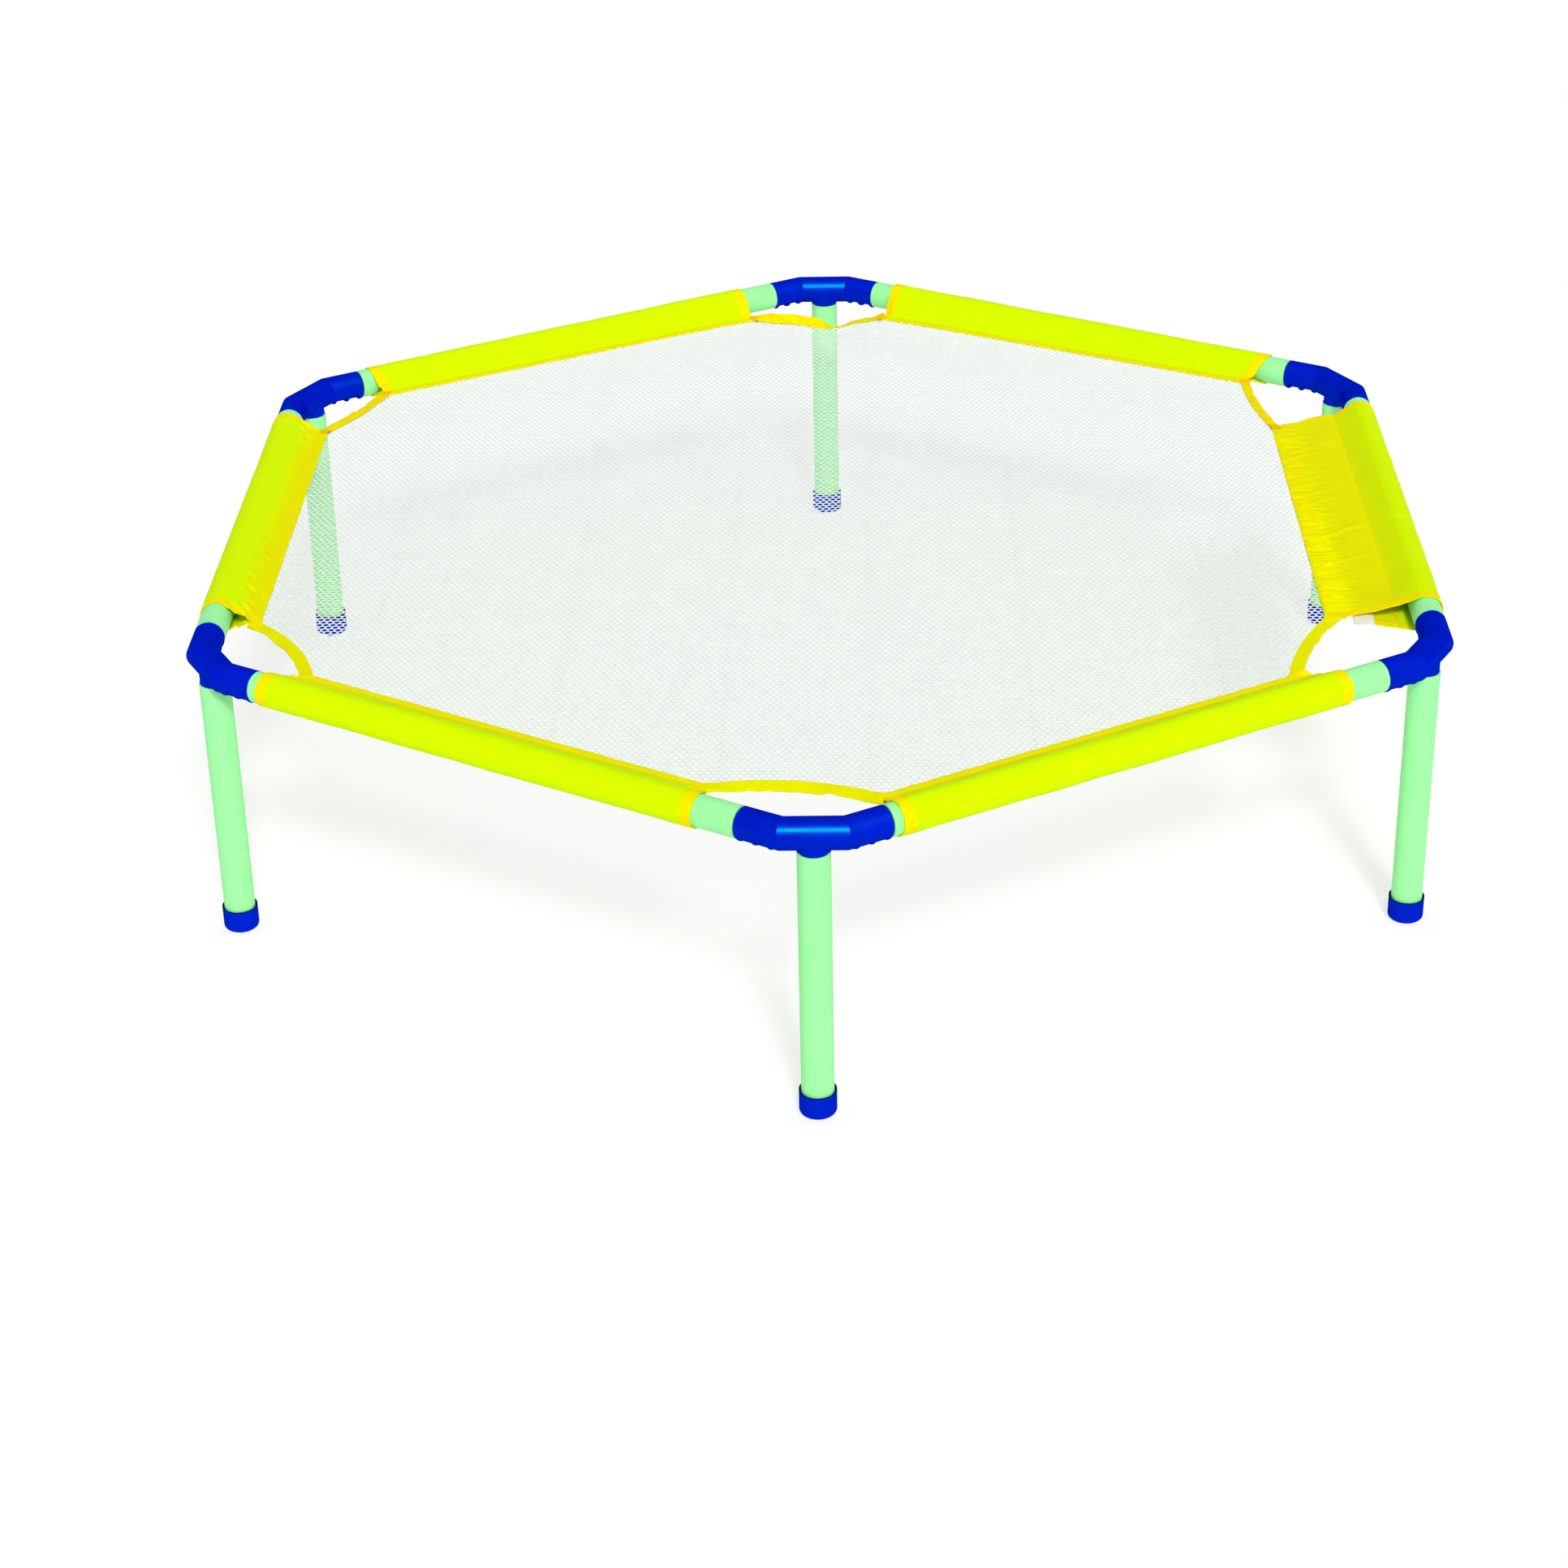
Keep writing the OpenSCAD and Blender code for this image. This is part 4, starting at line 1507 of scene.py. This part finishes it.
@dataclass
class Binding:
    """A tape folded over the net's cut edge at one corner.

    Its way across is a hairpin: over the net, out past the cut, round a small fold and back
    underneath. It is carried along the corner cut and a little way over the sleeves at its ends.
    tilts are angles in degrees at shares of the cut's length.
    """

    plan: RingPlan
    corner: int
    width: float = 12.0
    over_net: float = 1.5
    gap: float = 0.72
    tape: float = 0.6
    overlap: float = 8.0
    tilts: tuple[tuple[float, float], ...] = ((0.0, 0.0), (1.0, 0.0))
    sway_deg: float = 7.0
    crumple: float = 0.7
    scallop: float = 0.7
    end_rise: float = 1.2
    colour_tone: float = 1.1
    rows: int = 110
    columns: int = 12

    def hairpin(self) -> tuple[np.ndarray, np.ndarray]:
        """The way across: over the net, round the fold and back underneath.

        Returns:
            Distances out from the cut, and up.
        """
        flat = np.linspace(-self.over_net, self.width - self.gap, self.columns)
        level = np.full(self.columns, self.gap)
        turn = np.linspace(0, math.pi, 9)[1:-1]
        out = np.concatenate([flat, self.width - self.gap + self.gap * np.sin(turn), flat[::-1]])
        return out, np.concatenate([level, self.gap * np.cos(turn), -level])

    def build(self, cloth: bpy.types.Material) -> None:
        """The tape turns up or down about the net's cut by an angle a that changes along it:
        (out, up) becomes (out cos a - up sin a, out sin a + up cos a).

        Args:
            cloth: Material of the tape.
        """
        cut = self.plan.cut(self.corner)
        out, up = self.hairpin()
        distance = distance_along(np.stack([out, up], 1))
        run = np.linspace(-self.overlap, cut.length + self.overlap, self.rows)[:, None]
        share = run / cut.length
        out, up, along = np.broadcast_arrays(out, up, run)
        seed = 900 + 10 * self.corner
        ends = 1 - smooth(np.minimum(share, 1 - share) * cut.length / self.overlap)
        tilt = np.interp(share, *zip(*self.tilts)) + self.sway_deg * ripple(run, 0.0, seed + 3, 45)
        tilt = np.radians(tilt) * smooth((out + 1) / 4)
        over = np.sin(tilt) * out + np.cos(tilt) * up
        beyond = np.cos(tilt) * out - np.sin(tilt) * up
        far = np.clip(out / self.width, 0, 1)
        wave = self.crumple * ripple(along, 0.0, seed, 24) * far
        scallop = self.scallop * ripple(along, 0.0, seed + 1, 22) * far
        plan = cut.at(np.broadcast_to(share, out.shape), -(beyond + scallop))
        rise = over + wave + np.sign(up) * self.end_rise * ends
        height = self.plan.height + self.plan.level(plan) + rise
        middle = np.concatenate([plan, height[..., None]], -1)
        uv = np.stack([along, np.broadcast_to(distance, out.shape)], -1)
        tone = self.colour_tone + 0.7 * ends + 0.2 * ripple(along, out, seed + 2, 16)
        if normals_of(middle)[:, : self.columns, 2].sum() < 0:
            middle, uv, tone = middle[::-1], uv[::-1], tone[::-1]
        half = np.full(out.shape, self.tape / 2)
        node = f"binding_{CORNERS[self.corner]}"
        piece = cloth_piece(f"{node}_tape", middle, half, half, uv, tone)
        finish_piece(piece, cloth, node)


# ---- CAD pieces ----


def dress_frame() -> None:
    """Gives the CAD connectors, tubes and foot caps their finishes."""
    blue = MouldedPolypropylene().make()
    name = "polypropylene_moulded_cap"
    # The cap's rim gets painted shade, nearly black
    cap = MouldedPolypropylene(name, rim_shade_from_mm=25.4, roughness=0.4).make()
    tube = ExtrudedTube()
    upright = tube.make(None)
    turned = [tube.make(60 * k + 30) for k in range(3)]
    for corner in CORNERS:
        for node, material in (("connector", blue), ("foot_cap", cap), ("leg_tube", upright)):
            dress(f"{node}_{corner}", material)
    for number, side in enumerate(SIDES):
        dress(f"side_tube_{side}", turned[number % 3])


def dress(node: str, material: bpy.types.Material) -> None:
    """Puts a material on a CAD node.

    Args:
        node: Its name.
        material: The material.
    """
    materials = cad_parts[node].data.materials
    for k in range(len(materials)):
        materials[k] = material
    if not materials:
        materials.append(material)


# ---- Studio ----


@dataclass(frozen=True)
class Studio:
    """A plain white floor, a soft sun, a second sun for the glint, an even sky, and the camera.

    Seen by the camera or in gloss the floor is paper with a glow, which together render just
    white. To light that bounces onto the object it is white paper with a faint glow. A sun's turn
    is its angle from the front toward the right, and its height is that over the floor.
    """

    eye: tuple[float, float, float] = (0.0489, -3.3844, 1.8294)
    aim: tuple[float, float, float] = (-0.0456, 0.0, -0.0293)
    roll_deg: float = -1.27
    lens: float = 77.42
    sensor: float = 36.0
    view_end: float = 500.0
    floor_half: float = 60.0
    sky_strength: float = 0.52
    # Strength, and angles in degrees: size of the disc, turn and height
    sun: tuple[float, ...] = (2.0, 11.0, 12.0, 43.0)
    glint: tuple[float, ...] = (9.0, 16.0, 12.0, 50.0)
    # Albedo and glow of the floor as it is seen, and as it lights the object
    paper: tuple[float, float] = (0.4, 0.63)
    bounce: tuple[float, float] = (0.9, 0.1)

    def camera(self) -> None:
        """Places the camera: it looks from eye to aim, turned about that line by the roll."""
        data = bpy.data.cameras.new("camera")
        data.lens = self.lens
        data.sensor_width = self.sensor
        data.clip_end = self.view_end
        camera = put("camera", data)
        forward = (Vector(self.aim) - Vector(self.eye)).normalized()
        right = forward.cross(Vector((0, 0, 1))).normalized()
        up = right.cross(forward)
        c, s = math.cos(math.radians(self.roll_deg)), math.sin(math.radians(self.roll_deg))
        axes = Matrix((right * c + up * s, up * c - right * s, -forward)).transposed().to_4x4()
        camera.matrix_world = Matrix.Translation(self.eye) @ axes
        bpy.context.scene.camera = camera

    def lamp(self, name: str, strength: float, *angles: float) -> bpy.types.Object:
        """Adds a soft sun.

        Args:
            name: Its name.
            strength: Light on a surface that faces it.
            *angles: Size of its disc, turn and height, in degrees.

        Returns:
            The lamp.
        """
        size, turn, height = map(math.radians, angles)
        data = bpy.data.lights.new(name, "SUN")
        data.energy = strength
        data.angle = size
        lamp = put(name, data)
        flat = math.cos(height)
        toward = Vector((math.sin(turn) * flat, -math.cos(turn) * flat, math.sin(height)))
        lamp.rotation_euler = toward.to_track_quat("Z", "Y").to_euler()
        return lamp

    def lamps(self) -> None:
        """Adds the sun, and the second one, which is only seen as a glint on gloss."""
        self.lamp("sun_soft", *self.sun)
        self.lamp("sun_glint", *self.glint).visible_diffuse = False

    def seen_directly(self, tree: bpy.types.NodeTree) -> bpy.types.NodeSocket:
        """Tells the rays that see the floor itself from those that carry its light.

        Args:
            tree: Node tree that asks.

        Returns:
            1 for rays from the camera, from a gloss or through a clear thing, else 0.
        """
        path = add(tree, "ShaderNodeLightPath")
        seen = path.outputs["Is Camera Ray"]
        for kind in ("Is Glossy Ray", "Is Transmission Ray"):
            either = {0: seen, 1: path.outputs[kind]}
            seen = add(tree, "ShaderNodeMath", either, operation="MAXIMUM").outputs[0]
        return seen

    def floor(self) -> None:
        """Lays the floor: plain paper of one tone, just white where nothing shades it."""
        h = self.floor_half
        mesh = bpy.data.meshes.new("floor")
        mesh.from_pydata([(-h, -h, 0), (h, -h, 0), (h, h, 0), (-h, h, 0)], [], [(0, 1, 2, 3)])
        plane = put("floor", mesh)
        material, tree, main = shader("paper_matt")
        tree.nodes.remove(main)
        sides = []
        for albedo, strength in (self.bounce, self.paper):
            paper = add(tree, "ShaderNodeBsdfDiffuse", {"Color": (albedo, albedo, albedo, 1)})
            glow = add(tree, "ShaderNodeEmission", {"Strength": strength})
            both = {0: paper.outputs[0], 1: glow.outputs[0]}
            sides.append(add(tree, "ShaderNodeAddShader", both).outputs[0])
        choice = {0: self.seen_directly(tree), 1: sides[0], 2: sides[1]}
        mixed = add(tree, "ShaderNodeMixShader", choice)
        feed(tree, tree.nodes["Material Output"], {"Surface": mixed.outputs[0]})
        plane.data.materials.append(material)

    def sky(self) -> None:
        """An even soft light, which is seen only above the floor's far edge."""
        world = bpy.data.worlds.new("studio")
        world.use_nodes = True
        bpy.context.scene.world = world
        soft = world.node_tree.nodes["Background"]
        soft.inputs["Color"].default_value = (1, 1, 1, 1)
        soft.inputs["Strength"].default_value = self.sky_strength

    def build(self) -> None:
        """Sets up everything that isn't the object."""
        bpy.context.scene.view_settings.view_transform = "Standard"
        self.camera()
        self.lamps()
        self.floor()
        self.sky()


# ---- The whole ----


def dress_ring(plan: RingPlan) -> None:
    """Makes all the cloth: sleeves, the wide one's facing and closure strip, net and bindings.

    Args:
        plan: The ring's sizes.
    """
    cloth = WovenPolyester().make()
    thread = SpunThread("polyester_sewing_thread", colour="#FFA80C", dark_colour="#F09208").make()
    special = {0: {"corner_lift": (0.0, 4.0)}, 2: {"free_from": -30.0}, 3: {"free_from": -30.0}}
    for side in (0, 2, 3, 4, 5):
        Sleeve(plan, side, **special.get(side, {})).build(cloth, thread)
    wide = WideSleeve(plan, WIDE_SIDE)
    wide.build(cloth, thread)
    facing = FlatStrip(wide, "sleeve_right_facing", (-105.0, -83.0), -0.75, 0.8, layer=1)
    facing.build(cloth, Slot.SLEEVE, wide.name)
    closure = FlatStrip(wide, "closure_tape", (-76.0, -56.0), 0.0, 1.5, layer=-1, past_start=4.0)
    closure.build(LoopTape().make(), Slot.TAPE, "closure_strip")
    KnittedNet(plan).build(SpunThread().make())
    tape = WovenPolyester("polyester_ribbed_tape", thread_mm=1.4, ribbed=True).make()
    special = {
        0: {"tilts": FRONT_TILTS},
        2: {"width": 9.0, "colour_tone": 2.2},
        3: {"tilts": REAR_TILTS, "colour_tone": 2.2},
        4: {"colour_tone": 2.2},
    }
    for corner in range(6):
        Binding(plan, corner, **special.get(corner, {})).build(tape)


def main() -> None:
    """Builds the studio, the frame's finishes and the cloth."""
    logging.basicConfig(level=logging.INFO, format="%(message)s")
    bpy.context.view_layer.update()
    Studio().build()
    dress_frame()
    dress_ring(RingPlan())
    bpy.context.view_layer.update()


if __name__ == "__main__":
    main()
